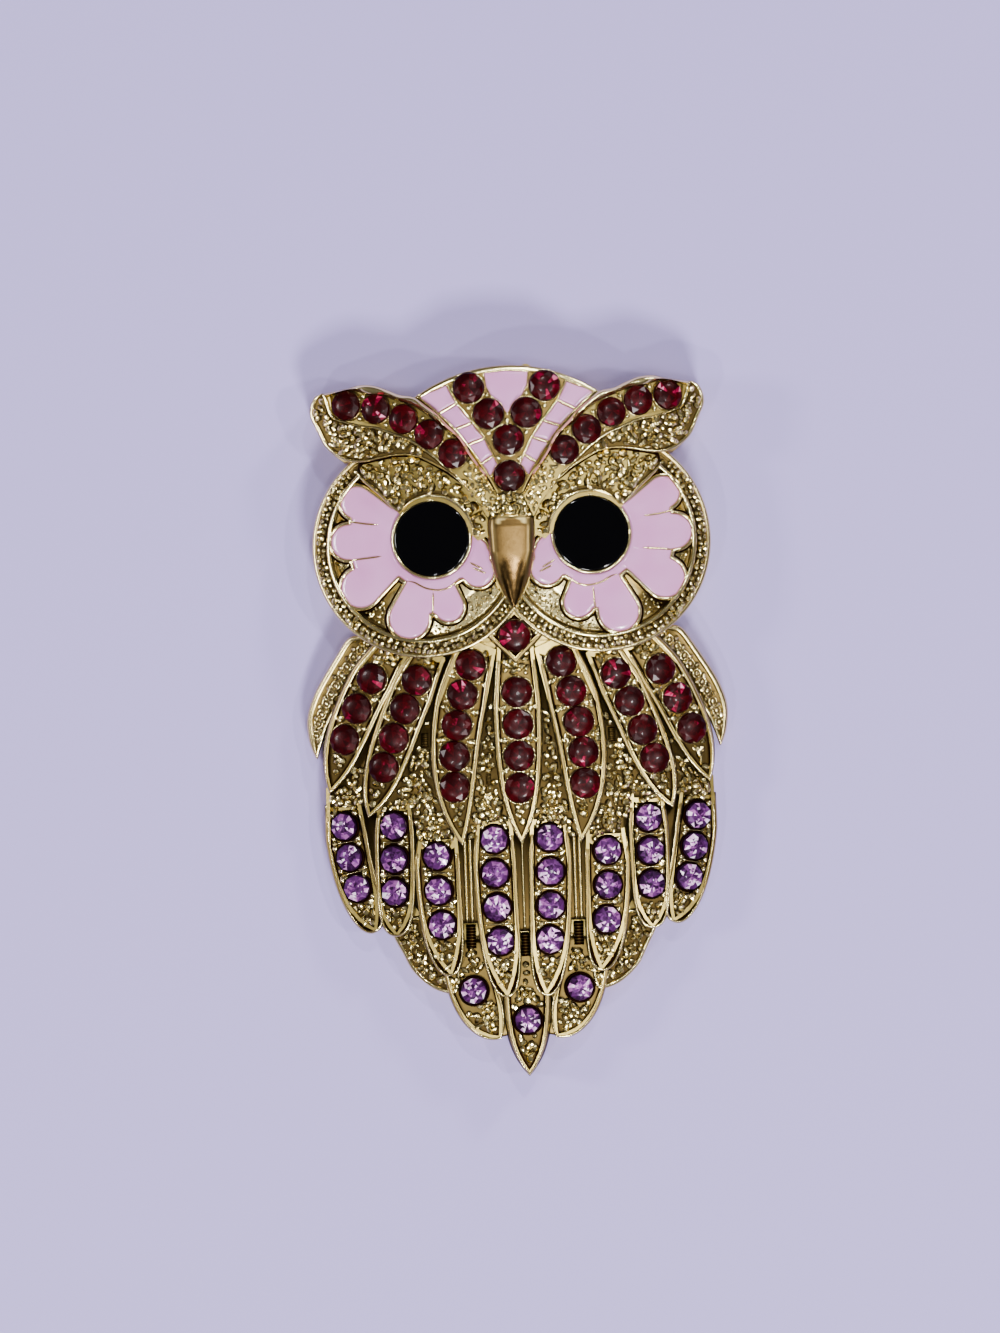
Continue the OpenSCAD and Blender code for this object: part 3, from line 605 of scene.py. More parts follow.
def feather_rings(f, insets, start, power):
    """Rings round a feather. The half width is the root's narrowing times the feather's, less the inset,
    times (1 - (t/last)^bluntness)^power, where last is the place of the ring's tip. What lies outside the
    outline comes closer to it towards the tip, so that the tip stays short."""
    rings, spine = [], None
    run = 1 - (1 - np.linspace(0, 1, 45)) ** 1.7
    for inset in insets:
        share = 0.4 if inset < 0 else 1.4 if power == 1 else 1.05
        last = 1 - share * inset / (2 * np.linalg.norm(f[2] - f[1]))
        t = start + (last - start) * run
        d = heading(f, t)
        w = f[3] * (0.75 + 0.25 * np.minimum(1, t / 0.3)) - inset
        w = np.clip(w * np.clip(1 - (t / last) ** f[4], 0, None) ** power, 0, None)[:, None]
        middle = bezier(f, t) + d * np.where(run == 0, inset, 0)[:, None]
        side = np.stack([-d[:, 1], d[:, 0]], -1) * w
        rings.append(np.concatenate([middle - side, (middle + side)[-2::-1]]))
        spine = np.concatenate([middle, middle[-2::-1]])
    return rings, spine, np.concatenate([run, run[-2::-1]])


def feather_plate(row, d, side, level, start, outer=1.0):
    """One feather as a closed slab; outer scales the line outside its edge, and the rim sinks at the root."""
    insets = np.where(RIM[:, 0] < 0, RIM[:, 0] * outer, RIM[:, 0])
    rings, spine, run = feather_rings(feather(row, d, side), insets, start, round_tip(row))
    fade, tip = np.clip(run / 0.08, 0, 1), np.clip((run - 0.6) / 0.3, 0, 1)
    up, shade = (RIM[:, i, None] * (1 - tip) + RIM[:, i + 2, None] * tip for i in (1, 2))
    return plate(rings, up * fade, shade, on_body, level, 1.0, spine, 0.25)


def outline_of(row, d, side, inset=0.0):
    """A feather's plan outline, moved in by inset."""
    return feather_rings(feather(row, d, side), [inset], 0.0, round_tip(row))[0][0]


def even_places(f, first, last, n):
    """n places on a bent line between two shares of it, spaced evenly by its speed at both ends."""
    speed = [np.linalg.norm((1 - t) * (f[1] - f[0]) + t * (f[2] - f[1])) for t in (first, last)]
    ease = (speed[1] - speed[0]) / (speed[1] + speed[0])
    s = np.arange(n) / max(1, n - 1)
    return bezier(f, first + (last - first) * (s + ease * s * (1 - s)))


def row_places(row, d, side):
    """Centres of a feather's stones."""
    return even_places(feather(row, d, side), row[9], row[10], row[8])


SIDES = [(row, side) for side in (-1, 1) for row in range(4)]
row_1 = [(ROW_1[i], s) for i, s in SIDES if i or s > 0]
row_2 = [(ROW_2[i], s) for i, s in SIDES]
tail = [(TAIL_SIDE, -1), (TAIL_SIDE, 1), (TAIL_MID, 1)]
red_places = np.concatenate([row_places(r, RED_D, s) for r, s in row_1])
purple_places = np.concatenate([row_places(r, PURPLE_D, s) for r, s in row_2])
tail_places = np.concatenate([row_places(r, PURPLE_D, s) for r, s in tail])
outline_1 = [outline_of(r, RED_D, s) for r, s in row_1]
outline_2 = [outline_of(r, PURPLE_D, s) for r, s in row_2]
outline_t = [outline_of(r, PURPLE_D, s) for r, s in tail]
grown_1 = [outline_of(r, RED_D, s, -0.15) for r, s in row_1]
print("stones on feathers", len(red_places), len(purple_places), len(tail_places))

# %% Feather pieces
# Where the flank feathers start, as shares of their length
ROW_2_START = [0.13, 0.2, 0.13, 0.1]
TAIL_MID_LEVEL, TAIL_SIDE_LEVEL = 0.2, 0.02
gold_piece("feathers_breast", [feather_plate(r, RED_D, s, ROW_1_LEVEL, 0.02) for r, s in row_1])
gold_piece("feathers_flank", [feather_plate(ROW_2[i], PURPLE_D, s, ROW_2_LEVEL, ROW_2_START[i], 0.4)
                              for i, s in SIDES])
gold_piece("feathers_tail", [
    feather_plate(r, PURPLE_D, s, TAIL_MID_LEVEL if r is TAIL_MID else TAIL_SIDE_LEVEL, 0.06,
                  1.8 if r is TAIL_MID else 0.6) for r, s in tail])

# %% [markdown]
# ## Stones
# Each stone is cut with an eight-sided table, a crown in two tiers and a straight girdle. The mirror behind
# real glass breaks the view into small fields, so the table is divided too, and each field gets its own
# number of painted reflection: dark for ruby with a few flashes, lively for amethyst. Every stone is turned
# by its own seeded angle, as glued ones are.

# %% Stone maker
# Radii and heights of a stone's rings as shares of its radius, and its columns
STONE_R = np.array([0.0, 0.26, 0.48, 0.68, 0.90, 1.0, 1.0, 0.0])
STONE_Z = np.array([0.60, 0.595, 0.575, 0.54, 0.40, 0.27, -0.25, -0.25])
STONE_COLUMNS = 16


def stones(places, d, ground, level, seed, lively):
    """Cut stones on the ground: rings of points, every quad split in two facets, each with its own number of
    painted reflection.
    """
    rng = np.random.default_rng(seed)
    facet = np.where(np.arange(STONE_COLUMNS) % 2, math.cos(math.pi / 8), 1.0)
    plain = [np.ones(STONE_COLUMNS)] * 3
    pull = np.stack(plain + [facet, 2 - facet] + plain)
    r = STONE_R[:, None] * pull
    across, along = r * circle(STONE_COLUMNS).T[:, None]
    unit = np.stack([across, along, STONE_Z[:, None] + 0 * r], -1).reshape(-1, 3) * d / 2
    q = quads(len(STONE_R), STONE_COLUMNS)
    split = np.where((np.arange(len(q)) % 2 == 0)[:, None], q[:, [0, 1, 2, 0, 2, 3]],
                     q[:, [0, 1, 3, 1, 2, 3]])
    tris = split.reshape(-1, 3)
    a, b, c = (unit[tris[:, k]] for k in range(3))
    keep = np.linalg.norm(np.cross(b - a, c - a), axis=1) > 1e-7
    tris = tris[keep]
    ring = np.repeat(np.arange(len(STONE_R) - 1), 2 * STONE_COLUMNS)[keep]
    n = len(places)
    spin, lean = rng.uniform(0, math.pi / 4, n), rng.normal(0, 0.045, (n, 2))
    points, faces = copies(unit, tris, places, ground, level, own=own_turns(spin, lean, np.ones(n)))
    column = np.tile(np.repeat(np.arange(STONE_COLUMNS), 2), len(STONE_R) - 1)[keep]
    wedge = rng.uniform(0, 1, (n, 3, STONE_COLUMNS // 2))[:, np.minimum(ring // 2, 2), column // 2]
    spoke, star = rng.uniform(0, 1, (n, STONE_COLUMNS))[:, column], rng.uniform(0, 1, (n, 1))
    draw = rng.uniform(0, 1, (n, len(tris)))
    if lively:
        painted_flash = np.where(ring >= 4, 0.05 + 0.3 * draw, 0.08 + 0.42 * wedge + 0.3 * draw)
        painted_flash = np.where((spoke > 0.76 - 0.2 * star) & (ring > 0) & (ring < 4) & (draw > 0.4),
                        0.6 + 0.4 * draw, painted_flash)
    else:
        painted_flash = np.where(ring >= 4, 0.25 + 0.25 * draw, 0.2 + 0.4 * wedge + 0.2 * draw)
        painted_flash = np.where((spoke > 0.84) & (star > 0.72) & (ring > 0) & (ring < 4),
                        0.74 + 0.24 * draw ** 2, painted_flash)
    return points, faces, (np.clip(painted_flash, 0, 1) + 2 * (ring < 3)).reshape(-1)


def row_names(kind, count):
    """The names of the CAD rows of stones."""
    return [f"{kind}_row_{i}" for i in range(1, count + 1)]


BROW_LINE = np.array([[13.3, 26.75], [8.905, 26.6], [4.592, 22.4]])
brow_right = even_places(BROW_LINE, 0, 1, 5)
brow_places = np.concatenate([brow_right, flip(brow_right, -1)])
V = np.array([[-3.14, 27.8], [-1.57, 25.6], [0, 23.4], [1.57, 25.6], [3.14, 27.8], [0, 20.4]])
throat_place = np.array([[0, 7.16]])
THROAT_LEVEL = 1.9

# %% Stone pieces
# Columns: name, places, diameter, ground, level, seed, whether lively, CAD nodes replaced
STONE_GROUPS = [
    ("stones_breast", red_places, 2.6, on_body, ROW_1_LEVEL + 0.08, 11, False, row_names("red", 7)),
    ("stones_brow", brow_places, 2.5, on_head, 0.8, 12, False, ("brow_stones_left", "brow_stones_right")),
    ("stones_forehead", V, 2.62, on_head, 0.5, 13, False, ("forehead_stones",)),
    ("stone_throat", throat_place, 2.72, on_body, THROAT_LEVEL + 0.16, 14, False, ("throat_stone",)),
    ("stones_flank", purple_places, 2.26, on_body, ROW_2_LEVEL + 0.08, 15, True, row_names("purple", 8)),
    ("stones_tail", tail_places, 2.2, on_body, 0.28, 16, True, ("tail_stones",)),
]
for name, places, d, ground, level, seed, lively, nodes in STONE_GROUPS:
    look, slot = (AMETHYST, "amethyst") if lively else (RUBY, "ruby")
    piece(name, [stones(places, d, ground, level, seed, lively)], look, False, nodes, "painted_flash")

# %% [markdown]
# ## Seats and grains on the coat
# A thin wire of gold shows round each red stone and a dark gap round each purple one, painted shade.
# Small beads fill the corners between the stones, and coarse grains cover the tips of the feathers and the
# ground.

# %% Seats
def dark(surface, amount=1.0):
    """The same surface with its shade set all over, to amount: painted shade."""
    return surface[0], surface[1], np.full(len(surface[0]), amount)


def pairs(places, reach):
    """The middles between neighbouring places, and the left normals of the steps from one to the other."""
    gap = np.linalg.norm(places[:, None] - places[None], axis=-1)
    i, j = np.nonzero(np.triu((gap < reach) & (gap > 0)))
    run = (places[j] - places[i]) / gap[i, j][:, None]
    return (places[i] + places[j]) / 2, np.stack([-run[:, 1], run[:, 0]], -1)


def prongs(places, r, ground, level, size, out=(0.78,)):
    """Beads in the corners between neighbouring stones: beside the middle of each pair, off to both sides."""
    middle, side = pairs(places, 2 * r + 0.75)
    xy = np.concatenate([middle + side * (r * q * s) for q in out for s in (-1, 1)])
    xy = xy + np.random.default_rng(len(xy)).normal(0, 0.04, xy.shape)
    return balls(xy, size, ground, level)


def corner_beads(rows, d, reach, size, level):
    """Four beads round every stone of the given feathers, at the corners of a square turned with the
    feather."""
    beads = []
    for row, side in rows:
        places = row_places(row, d, side)
        along = heading(feather(row, d, side), np.linspace(row[9], row[10], len(places)))
        across = np.stack([-along[:, 1], along[:, 0]], -1)
        beads += [places + (along * p + across * q) * reach for p in (-1, 1) for q in (-1, 1)]
    xy = np.concatenate(beads)
    xy = xy + np.random.default_rng(len(xy)).normal(0, 0.05, xy.shape)
    return balls(xy, sized(xy, size, 7), on_body, level)


RED_R, PURPLE_R = 1.3, 1.2
bars = [line(np.linspace(m - s * 1.35, m + s * 1.35, 7), 0.17, 0.24, on_body, ROW_2_LEVEL + 0.08, taper=0.1)
        for m, s in zip(*pairs(purple_places, 3.2))]
throat_beads = np.array([[-1.75, 7.4], [1.75, 7.4], [-0.95, 8.45], [0.95, 8.45]])
gold_piece("seats_breast", [tube_ring(red_places, RED_R + 0.05, 0.1, 0.2, on_body, ROW_1_LEVEL + 0.1),
                            prongs(red_places, RED_R, on_body, ROW_1_LEVEL + 0.2, 0.23, (0.82, 1.12)),
                            tube_ring(throat_place, 1.35, 0.08, 0.14, on_body, THROAT_LEVEL + 0.1),
                            balls(throat_beads, 0.26, on_body, THROAT_LEVEL + 0.2)])
gold_piece("seats_flank", [dark(tube_ring(purple_places, PURPLE_R, 0.26, 0.14, on_body, ROW_2_LEVEL + 0.1)),
                           dark(tube_ring(tail_places, PURPLE_R, 0.26, 0.14, on_body, 0.3)),
                           corner_beads(row_2, PURPLE_D, 1.0, 0.24, ROW_2_LEVEL + 0.24)] + bars)
gold_piece("seats_head", [tube_ring(brow_places, 1.27, 0.07, 0.2, on_head, 0.85),
                          tube_ring(V, 1.35, 0.1, 0.2, on_head, 0.46),
                          prongs(brow_places, 1.18, on_head, 1.0, 0.22),
                          prongs(V, 1.16, on_head, 0.56, 0.24)])

# %% [markdown]
# ## Strips between two edges
# Brow, eyelid, shoulder and forehead are long forms between two curved edges. A strip carries a profile from
# edge to edge along them; its offsets are in millimetres from one edge or the other, so a border keeps its
# width while the form swells and narrows.

# %% Strip maker
def strip(edge_a, edge_b, profile, ground, level, depth=0.8, foot=0.7):
    """Body between two plan edges, closed at its first end only. Profile rows: 0 or 1 for the edge they start
    from, offset, height, shade. Its walls drop by depth and carry foot as their shade, painted shade."""
    width = np.linalg.norm(edge_b - edge_a, axis=1, keepdims=True)
    rows = [edge_a]
    for edge, offset, _, _ in profile:
        share = np.clip(offset / np.maximum(width, 1e-3), -0.2, 0.48)
        rows.append(edge_a + (edge_b - edge_a) * share if edge == 0 else edge_b + (edge_a - edge_b) * share)
    xy = np.stack([*rows, edge_b, edge_a]).transpose(1, 0, 2)
    up = np.array([-depth, *[row[2] for row in profile], -depth, -depth])
    shade = np.array([foot, *[row[3] for row in profile], foot, foot])
    points = lift(xy, ground, level + np.broadcast_to(up, xy.shape[:2]))
    points = capped(points)[:-1]
    return sheet_of(points, np.broadcast_to(shade, points.shape[:2]), wrap=False)


def mirrored(surface):
    """The surface on the other side of the owl."""
    return surface[0] * [-1, 1, 1], surface[1][:, ::-1], surface[2]


def both(*surfaces):
    """Every surface and its mirror image."""
    return [s for surface in surfaces for s in (surface, mirrored(surface))]


HALVES = (("right", lambda surface: surface), ("left", mirrored))


# %% [markdown]
# Between and below the feathers of the breast the ground is one coarse skin of grains. It is a slab whose
# lower edge steps down from stone to stone. A smooth slab fills the gaps between the flank feathers, down to
# the pits, which are slots painted dark as painted shade.

# %% Grains on the coat
# Width of a feather's rim, which has no grains, the step of the grains, and the levels of the two skins
RIM_WIDTH, GRAIN_STEP, BREAST_LEVEL, FLANK_LEVEL = 0.62, 0.52, 1.07, 0.62
# Pit columns: x, y, half width, half height, level
PITS = np.array([[7.8, -1.3, 0.3, 0.6, 1.09], [2.6, -4.7, 0.22, 0.45, 1.09], [4.5, -17.8, 0.42, 1.0, 0.12],
                 [0, -18.6, 0.34, 1.0, 0.34]])
PITS = np.concatenate([PITS, PITS[:3] * [-1, 1, 1, 1, 1]])


def pit(x, y, half, tall, level):
    """A slot painted dark as painted shade: a flat strip from top to bottom with thin ribs across it,
    painted a little less dark.
    """
    run = np.linspace(y + tall, y - tall, 9)
    slot = strip(np.stack([0 * run + x - half, run], -1), np.stack([0 * run + x + half, run], -1),
                 [(0, 0.0, 0.0, 1.0), (1, 0.0, 0.0, 1.0)], on_body, level, 0.6)
    ribs = [dark(line(np.array([[x - half, r], [x, r], [x + half, r]]), 0.1, 0.1, on_body, level), 0.8)
            for r in run[1:-1]]
    return [slot, *ribs]


pit_corners = [np.array([[x - w, y - h], [x + w, y - h], [x + w, y + h], [x - w, y + h]])
               for x, y, w, h, _ in PITS]
pit_holes = [(corners, 0.12) for corners in pit_corners]
# Every feather's outline, the stones its grains keep clear of, and its level
grained = [(o, red_places, ROW_1_LEVEL) for o in outline_1]
grained += [(o, purple_places, ROW_2_LEVEL) for o in outline_2]
grained += [(o, tail_places, 0.03) for o in outline_t[:2]]
grained += [(outline_t[2], tail_places, 0.22)]
grains = []
for k, (outline, places, level) in enumerate(grained):
    over = [(o, 0.1) for o in grown_1] if k >= len(outline_1) else []
    over += [(o, 0.25) for o in outline_2] if k >= len(outline_1) + len(outline_2) else []
    xy = scatter([outline], GRAIN_STEP, 100 + k, RIM_WIDTH, [(places, RED_R + 0.16)], over + pit_holes)
    grains.append(flakes(xy, 0.3, on_body, level + 0.1, (200 + k, 250 + k)))
gold_piece("grains_feathers", grains, False)
breast_x = np.linspace(-15.9, 15.9, 180)
breast_top = np.interp(abs(breast_x), [0, 11.5, 11.9, 12.6, 13.5, 14.7, 15.5, 15.9],
                       [6.2, 6.2, 5.9, 5.0, 4.0, 2.0, 0.6, -0.1])
breast_foot = np.interp(abs(breast_x), [0, 0.7, 1.1, 3.3, 4.1, 5.3, 8.6, 9.2, 15.9],
                        [-9.3, -9.2, -8.2, -8.2, -9.9, -9.6, -9.6, -6.7, -6.7])
breast_edges = np.stack([breast_x, breast_top], -1), np.stack([breast_x, breast_foot], -1)
# The skins are painted near their darkest: painted shade on the ground between the feathers and grains.
BREAST_SKIN = [(0, 0.0, 0.0, 0.88), (1, 0.5, 0.0, 0.88), (1, 0.12, -0.1, 0.9), (1, 0.0, -0.3, 0.95)]
breast_skin = strip(*breast_edges, BREAST_SKIN, on_body, BREAST_LEVEL, 1.3)
flank_x = np.linspace(-13.4, 13.4, 120)
flank_foot = np.interp(abs(flank_x), [0, 0.7, 1.4, 3.2, 3.7, 5.3, 8.4, 9.4, 13.4],
                       [-17.5, -17.5, -20, -20, -16.7, -16.7, -16.3, -14.6, -14.0])
FLANK_SKIN = [(0, 0.0, 0.0, 0.9), (1, 0.3, 0.0, 0.9), (1, 0.0, -0.2, 1.0)]
flank_skin = strip(np.stack([flank_x, 0 * flank_x - 6.3], -1), np.stack([flank_x, flank_foot], -1),
                   FLANK_SKIN, on_body, FLANK_LEVEL, 1.5)
# Dull bands in the gaps between the flank feathers, columns: x, y of the lower end, width
GAP_BANDS = [(0.0, -17.4, 0.22), (4.34, -16.6, 0.34), (4.78, -16.6, 0.34), (-4.34, -16.6, 0.34),
             (-4.78, -16.6, 0.34)]
gap_bands = [line(np.array([[x, y] for y in np.linspace(-7.0, low, 20)]), wide, 0.26, on_body,
                  FLANK_LEVEL + 0.1)
             for x, low, wide in GAP_BANDS]
# The bands are painted no brighter than a shade of 0.3, and darker at their sides as painted shade.
gap_bands = [(points, faces, np.maximum(shade, 0.3)) for points, faces, shade in gap_bands]
gold_piece("coat_skin", [breast_skin, flank_skin, *gap_bands] + [s for p in PITS for s in pit(*p)])
coat_xy = scatter([np.concatenate([breast_edges[1], breast_edges[0][::-1]])], GRAIN_STEP, 300, 0.12, (),
                  [(o, 0.14) for o in grown_1] + pit_holes, 0.2)
gold_piece("grains_coat", [flakes(coat_xy, 0.3, on_body, BREAST_LEVEL + 0.06, (301, 302))], False)
# The webs between the tail feathers are painted dark as painted shade.
WEB = np.array([[2.5, -21.0], [2.5, -26.0], [2.3, -26.3], [1.75, -26.2], [1.4, -25.6], [1.4, -21.0]])
web = WEB.mean(0)
web_rings = [subdivided(WEB, 6)]
web_rings.append(web + (web_rings[0] - web) * 0.9)
gold_piece("tail_webs", both(plate(web_rings, [-0.1, 0.0], [0.8, 0.7], on_body, 0.0, 0.9,
                                   np.broadcast_to(web, web_rings[0].shape))))
print("grains on the coat", len(coat_xy))

# %% [markdown]
# ## The head
# Two round discs stand side by side, each with a border of beads between two smooth edges and a polished dish
# inside. Their profile is turned about the disc's middle, and where a disc passes the middle of the owl it
# ends.

# %% Face discs
FACE, DISC_COLUMNS = np.array([FACE_X, FACE_Y]), 220
# Disc profile, columns: radius, height, shade; the foot, the bead groove and the step down to the dish are
# painted dark as painted shade
DISC = np.array([
    [9.29, -1.6, 0.2], [9.29, -0.10, 0.3], [9.26, 0.02, 0.1], [9.18, 0.08, 0.15], [9.05, 0.09, 0.3],
    [8.98, 0.04, 0.4], [8.93, 0.02, 0.85], [8.77, 0.01, 0.9], [8.7, -0.11, 0.9], [8.4, -0.13, 0.9],
    [8.16, -0.11, 0.9], [8.11, -0.02, 0.6], [8.06, 0.09, 0.0], [7.93, 0.13, 0.0], [7.8, 0.09, 0.0],
    [7.74, -0.05, 0.3], [7.70, -0.35, 0.5], [7.63, -0.72, 0.8], [7.5, -0.77, 0.5], [7.36, -0.75, 0.1],
    [6.9, -0.62, 0.0], [6.4, -0.48, 0.0], [5.9, -0.34, 0.0], [5.4, -0.2, 0.2], [2.5, -0.5, 0.3],
    [0.0, -0.5, 0.3],
])


def disc():
    """The disc's profile turned about its middle; radii stop at the plane between the two discs."""
    turn = np.arange(DISC_COLUMNS) * 2 * math.pi / DISC_COLUMNS
    reach = np.where(np.cos(turn) < -0.05, FACE_X / np.maximum(-np.cos(turn), 0.05), 99)
    r = np.minimum(DISC[:, 0, None], reach[None])
    up = np.interp(-r, -DISC[1:, 0], DISC[1:, 1])
    xy = FACE + np.stack([r * np.cos(turn), r * np.sin(turn)], -1)
    foot = np.stack([xy[-1], xy[0]])
    xy = np.concatenate([foot, xy[1:]])
    up = np.concatenate([np.full((2, DISC_COLUMNS), DISC[0, 1]), up[1:]])
    # One cell of the dish, low on its outer side, is darker.
    darker_cell = np.exp(-((np.degrees(turn) - 312) / 11) ** 2)[None] * np.interp(
        r, [5.0, 5.6, 7.5, 7.7], [0, 1, 1, 0])
    shade = np.repeat(np.concatenate([[1.0], DISC[:, 2]])[:, None], DISC_COLUMNS, 1)
    shade[1:] = np.maximum(shade[1:], darker_cell)
    return sheet_of(lift(xy, on_head, up), shade)


def turned(radius, count):
    """A circle round the disc's middle."""
    return FACE + radius * circle(count)


gold_piece("face_discs", both(disc()))
bead_xy = np.concatenate([turned(8.36, 104), turned(8.78, 110)])
bead_xy = bead_xy + np.random.default_rng(399).normal(0, 0.06, bead_xy.shape)
bead_xy = bead_xy[(bead_xy[:, 0] > 0.2) & (bead_xy[:, 1] < 21.3)]
bead_level = np.where(np.linalg.norm(bead_xy - FACE, axis=1) > 8.6, 0.04, -0.06)
gold_piece("face_beads", both(flakes(bead_xy, 0.25, on_head, bead_level, (400, 401), 0.6)), False)

# %% [markdown]
# Soft enamel is poured into cells between thin gold lines and shrinks a little as it hardens, so it stands
# highest in the middle and dips at its edge. Round each eye the enamel makes petals. Seen from the eye, the
# petals' outline is one distance for each direction: the far side of the round end that lies there, or the
# narrow band under the eye.

# %% Petals
EYE, COLLAR_R = np.array([6.64, 15.42]), 3.37
# The petals' round ends, columns: x, y, radius
LOBES = np.array([[12.81, 18.68, 1.32], [13.6, 15.4, 1.44], [12.7, 11.55, 1.62], [8.72, 8.85, 1.64],
                  [5.4, 9.72, 1.22], [2.85, 12.6, 1.3], [2.75, 13.9, 0.9], [2.7, 14.55, 0.62]])
# Between neighbouring petals the enamel reaches this far, columns: from angle, to angle, distance
FILLS = np.array([[4, 30, 6.85], [-30, -3, 6.85], [-104, -76, 6.15], [-150, -130, 4.3]])
# The distance elsewhere, where the band under the eye ends
BAND = 4.1


def petal_edge(count):
    """The petals' outline round the eye, resampled to even steps."""
    a = np.radians(np.arange(0, 360, 0.1))
    u = np.stack([np.cos(a), np.sin(a)], -1)
    m = LOBES[:, :2] - EYE
    along = u @ m.T
    root = along ** 2 - (m ** 2).sum(1) + LOBES[:, 2] ** 2
    far = np.where((root > 0) & (along > 0), along + np.sqrt(np.clip(root, 0, None)), 0).max(1)
    angle = (np.degrees(a) + 180) % 360 - 180
    for low_a, high_a, reach in FILLS:
        far = np.where((angle > low_a) & (angle < high_a), np.maximum(far, reach), far)
    edge = EYE + u * np.maximum(far, BAND)[:, None]
    even = resampled(np.append(edge, edge[:1], 0), count, True)
    for _ in range(2):
        even = (np.roll(even, 1, 0) + 2 * even + np.roll(even, -1, 0)) / 4
    return even


edge = petal_edge(420)
to_eye = EYE - edge
reach = np.linalg.norm(to_eye, axis=1, keepdims=True)
inner = reach - COLLAR_R
ENAMEL_RIM = [(0.0, -0.45), (0.0, -0.19), (0.05, -0.135), (0.12, -0.105), (0.25, -0.085), (0.45, -0.075)]
rows = [edge + to_eye / reach * np.minimum(s, inner * 0.9) for s, _ in ENAMEL_RIM]
rows += [edge + to_eye / reach * (inner * q) for q in (0.92, 0.96, 1.0, 1.0)]
heights = [h for _, h in ENAMEL_RIM] + [-0.075, -0.085, -0.12, -0.45]
petals = lift(np.stack(rows + rows[:1]), on_head,
              np.array(heights + heights[:1])[:, None] + np.zeros(len(edge)))
for name, maker in HALVES:
    piece(f"enamel_petals_{name}", [maker(sheet_of(petals, np.zeros(len(petals))))], ENAMEL, True,
          (f"face_enamel_{name}",))
wire_edge = edge - left_normals(edge, True) * 0.13
DIVIDERS = [[[13.6, 17.16], [12.3, 16.9], [11.05, 16.75]], [[13.5, 13.88], [12.2, 14.0], [10.85, 14.12]],
            [[6.78, 9.1], [6.7, 10.0], [6.65, 11.0]], [[3.55, 13.35], [3.0, 13.05], [2.45, 12.75]],
            [[3.3, 12.9], [2.8, 12.65], [2.2, 12.4]],
            [[4.35, 12.15], [5.2, 11.4], [6.0, 11.15], [6.7, 11.2], [7.4, 11.4], [8.2, 11.85], [8.85, 12.0]]]
# Outside the wire a lower line is painted dark as painted shade.
wires = [line(wire_edge, 0.34, 0.2, on_head, -0.11, True),
         dark(line(wire_edge - left_normals(edge, True) * 0.2, 0.2, 0.12, on_head, -0.2, True))]
wires += [line(smooth_path(d, 24), 0.18, 0.12, on_head, -0.085, taper=0.2) for d in DIVIDERS]
gold_piece("petal_wires", both(*wires))
speck_xy = scatter([turned(7.5, 90)], 0.34, 410, 0.0, (), [(edge, 0.3), (turned(5.7, 60), 0.0)], 0.2)
speck_level = np.interp(-np.linalg.norm(speck_xy - FACE, axis=1), -DISC[1:, 0], DISC[1:, 1])
gold_piece("face_specks", both(flakes(speck_xy, 0.14, on_head, speck_level, (411, 412))), False)

# %% [markdown]
# The eyes are black glass set in a thin collar. They follow the curve of the head and rise a little in the
# middle.

# %% Eyes
EYE_COLUMNS = 96
# Columns: radius, height
EYE_PROFILE = [(0.0, -0.6), (3.12, -0.6), (3.12, 0.06), (3.11, 0.12), (3.08, 0.16), (3.04, 0.18), (3.0, 0.19),
               (2.95, 0.195), (2.88, 0.198), (2.0, 0.21), (1.0, 0.22), (0.0, 0.225)]
eye_r, eye_z = np.array(EYE_PROFILE).T[:, :, None]
eye_xy = EYE + eye_r[..., None] * circle(EYE_COLUMNS)
eye = sheet_of(lift(eye_xy, on_head, eye_z + np.zeros(EYE_COLUMNS)), np.zeros(len(EYE_PROFILE)))
for name, maker in HALVES:
    piece(f"eye_glass_{name}", [maker(eye)], JET, True, (f"eye_{name}",))
gold_piece("eye_collars", both(line(EYE + 3.24 * circle(EYE_COLUMNS), 0.26, 0.14, on_head, 0.12, True)))

# %% [markdown]
# Over each eye lie an eyelid of coarse grains and the brow, which runs out into the ear tuft. The brow has a
# polished roll on its upper edge, the channel with the red stones, and a band of grains under a thin line.

# %% Brows and eyelids
BROW_LEVEL, LID_LEVEL = 1.07, 0.36
UPPER = [[15.25, 27.82], [14.5, 27.95], [13, 28.22], [12.1, 28.4], [11, 28.3], [9.8, 27.85], [8.9, 27.45],
         [7.7, 27.2], [6.85, 26.55], [5.8, 25.7], [5.1, 24.9], [3.9, 23.7], [3.2, 22.4], [2.45, 21.3],
         [1.7, 20.3], [1.0, 18.9]]
ROLL = [[15.1, 27.5], [14.5, 27.62], [13.3, 27.95], [12.3, 27.8], [11.3, 27.5], [10.2, 27.4], [9.3, 27.0],
        [8.0, 26.55], [7.1, 26.0], [6.1, 25.2], [5.3, 24.45], [4.25, 23.5], [3.5, 22.2], [2.8, 21.2],
        [2.05, 20.1], [1.25, 18.8]]
BAND_TOP = [[15.2, 27.85], [14.95, 27.4], [14.7, 26.5], [14.3, 25.75], [13.3, 25.4], [12.0, 25.05],
            [10.7, 24.85], [9.4, 24.3], [8.1, 23.75], [6.9, 22.9], [6.0, 22.15], [5.1, 21.2], [4.1, 20.3],
            [2.75, 18.4], [1.85, 16.9]]
BAND_FOOT = [[15.5, 27.8], [16.05, 27.5], [16.4, 26.7], [16.4, 25.9], [15.95, 24.9], [15.3, 23.5],
             [14.5, 22.7], [13.4, 22.1], [12, 22], [9.8, 22.4], [8.4, 22.45], [6.9, 22.0], [5.1, 20.9],
             [3.2, 19], [1.95, 16.9]]
upper, roll = smooth_path(UPPER, 90), smooth_path(ROLL, 90)
band_top, band_foot = smooth_path(BAND_TOP, 90), smooth_path(BAND_FOOT, 90)
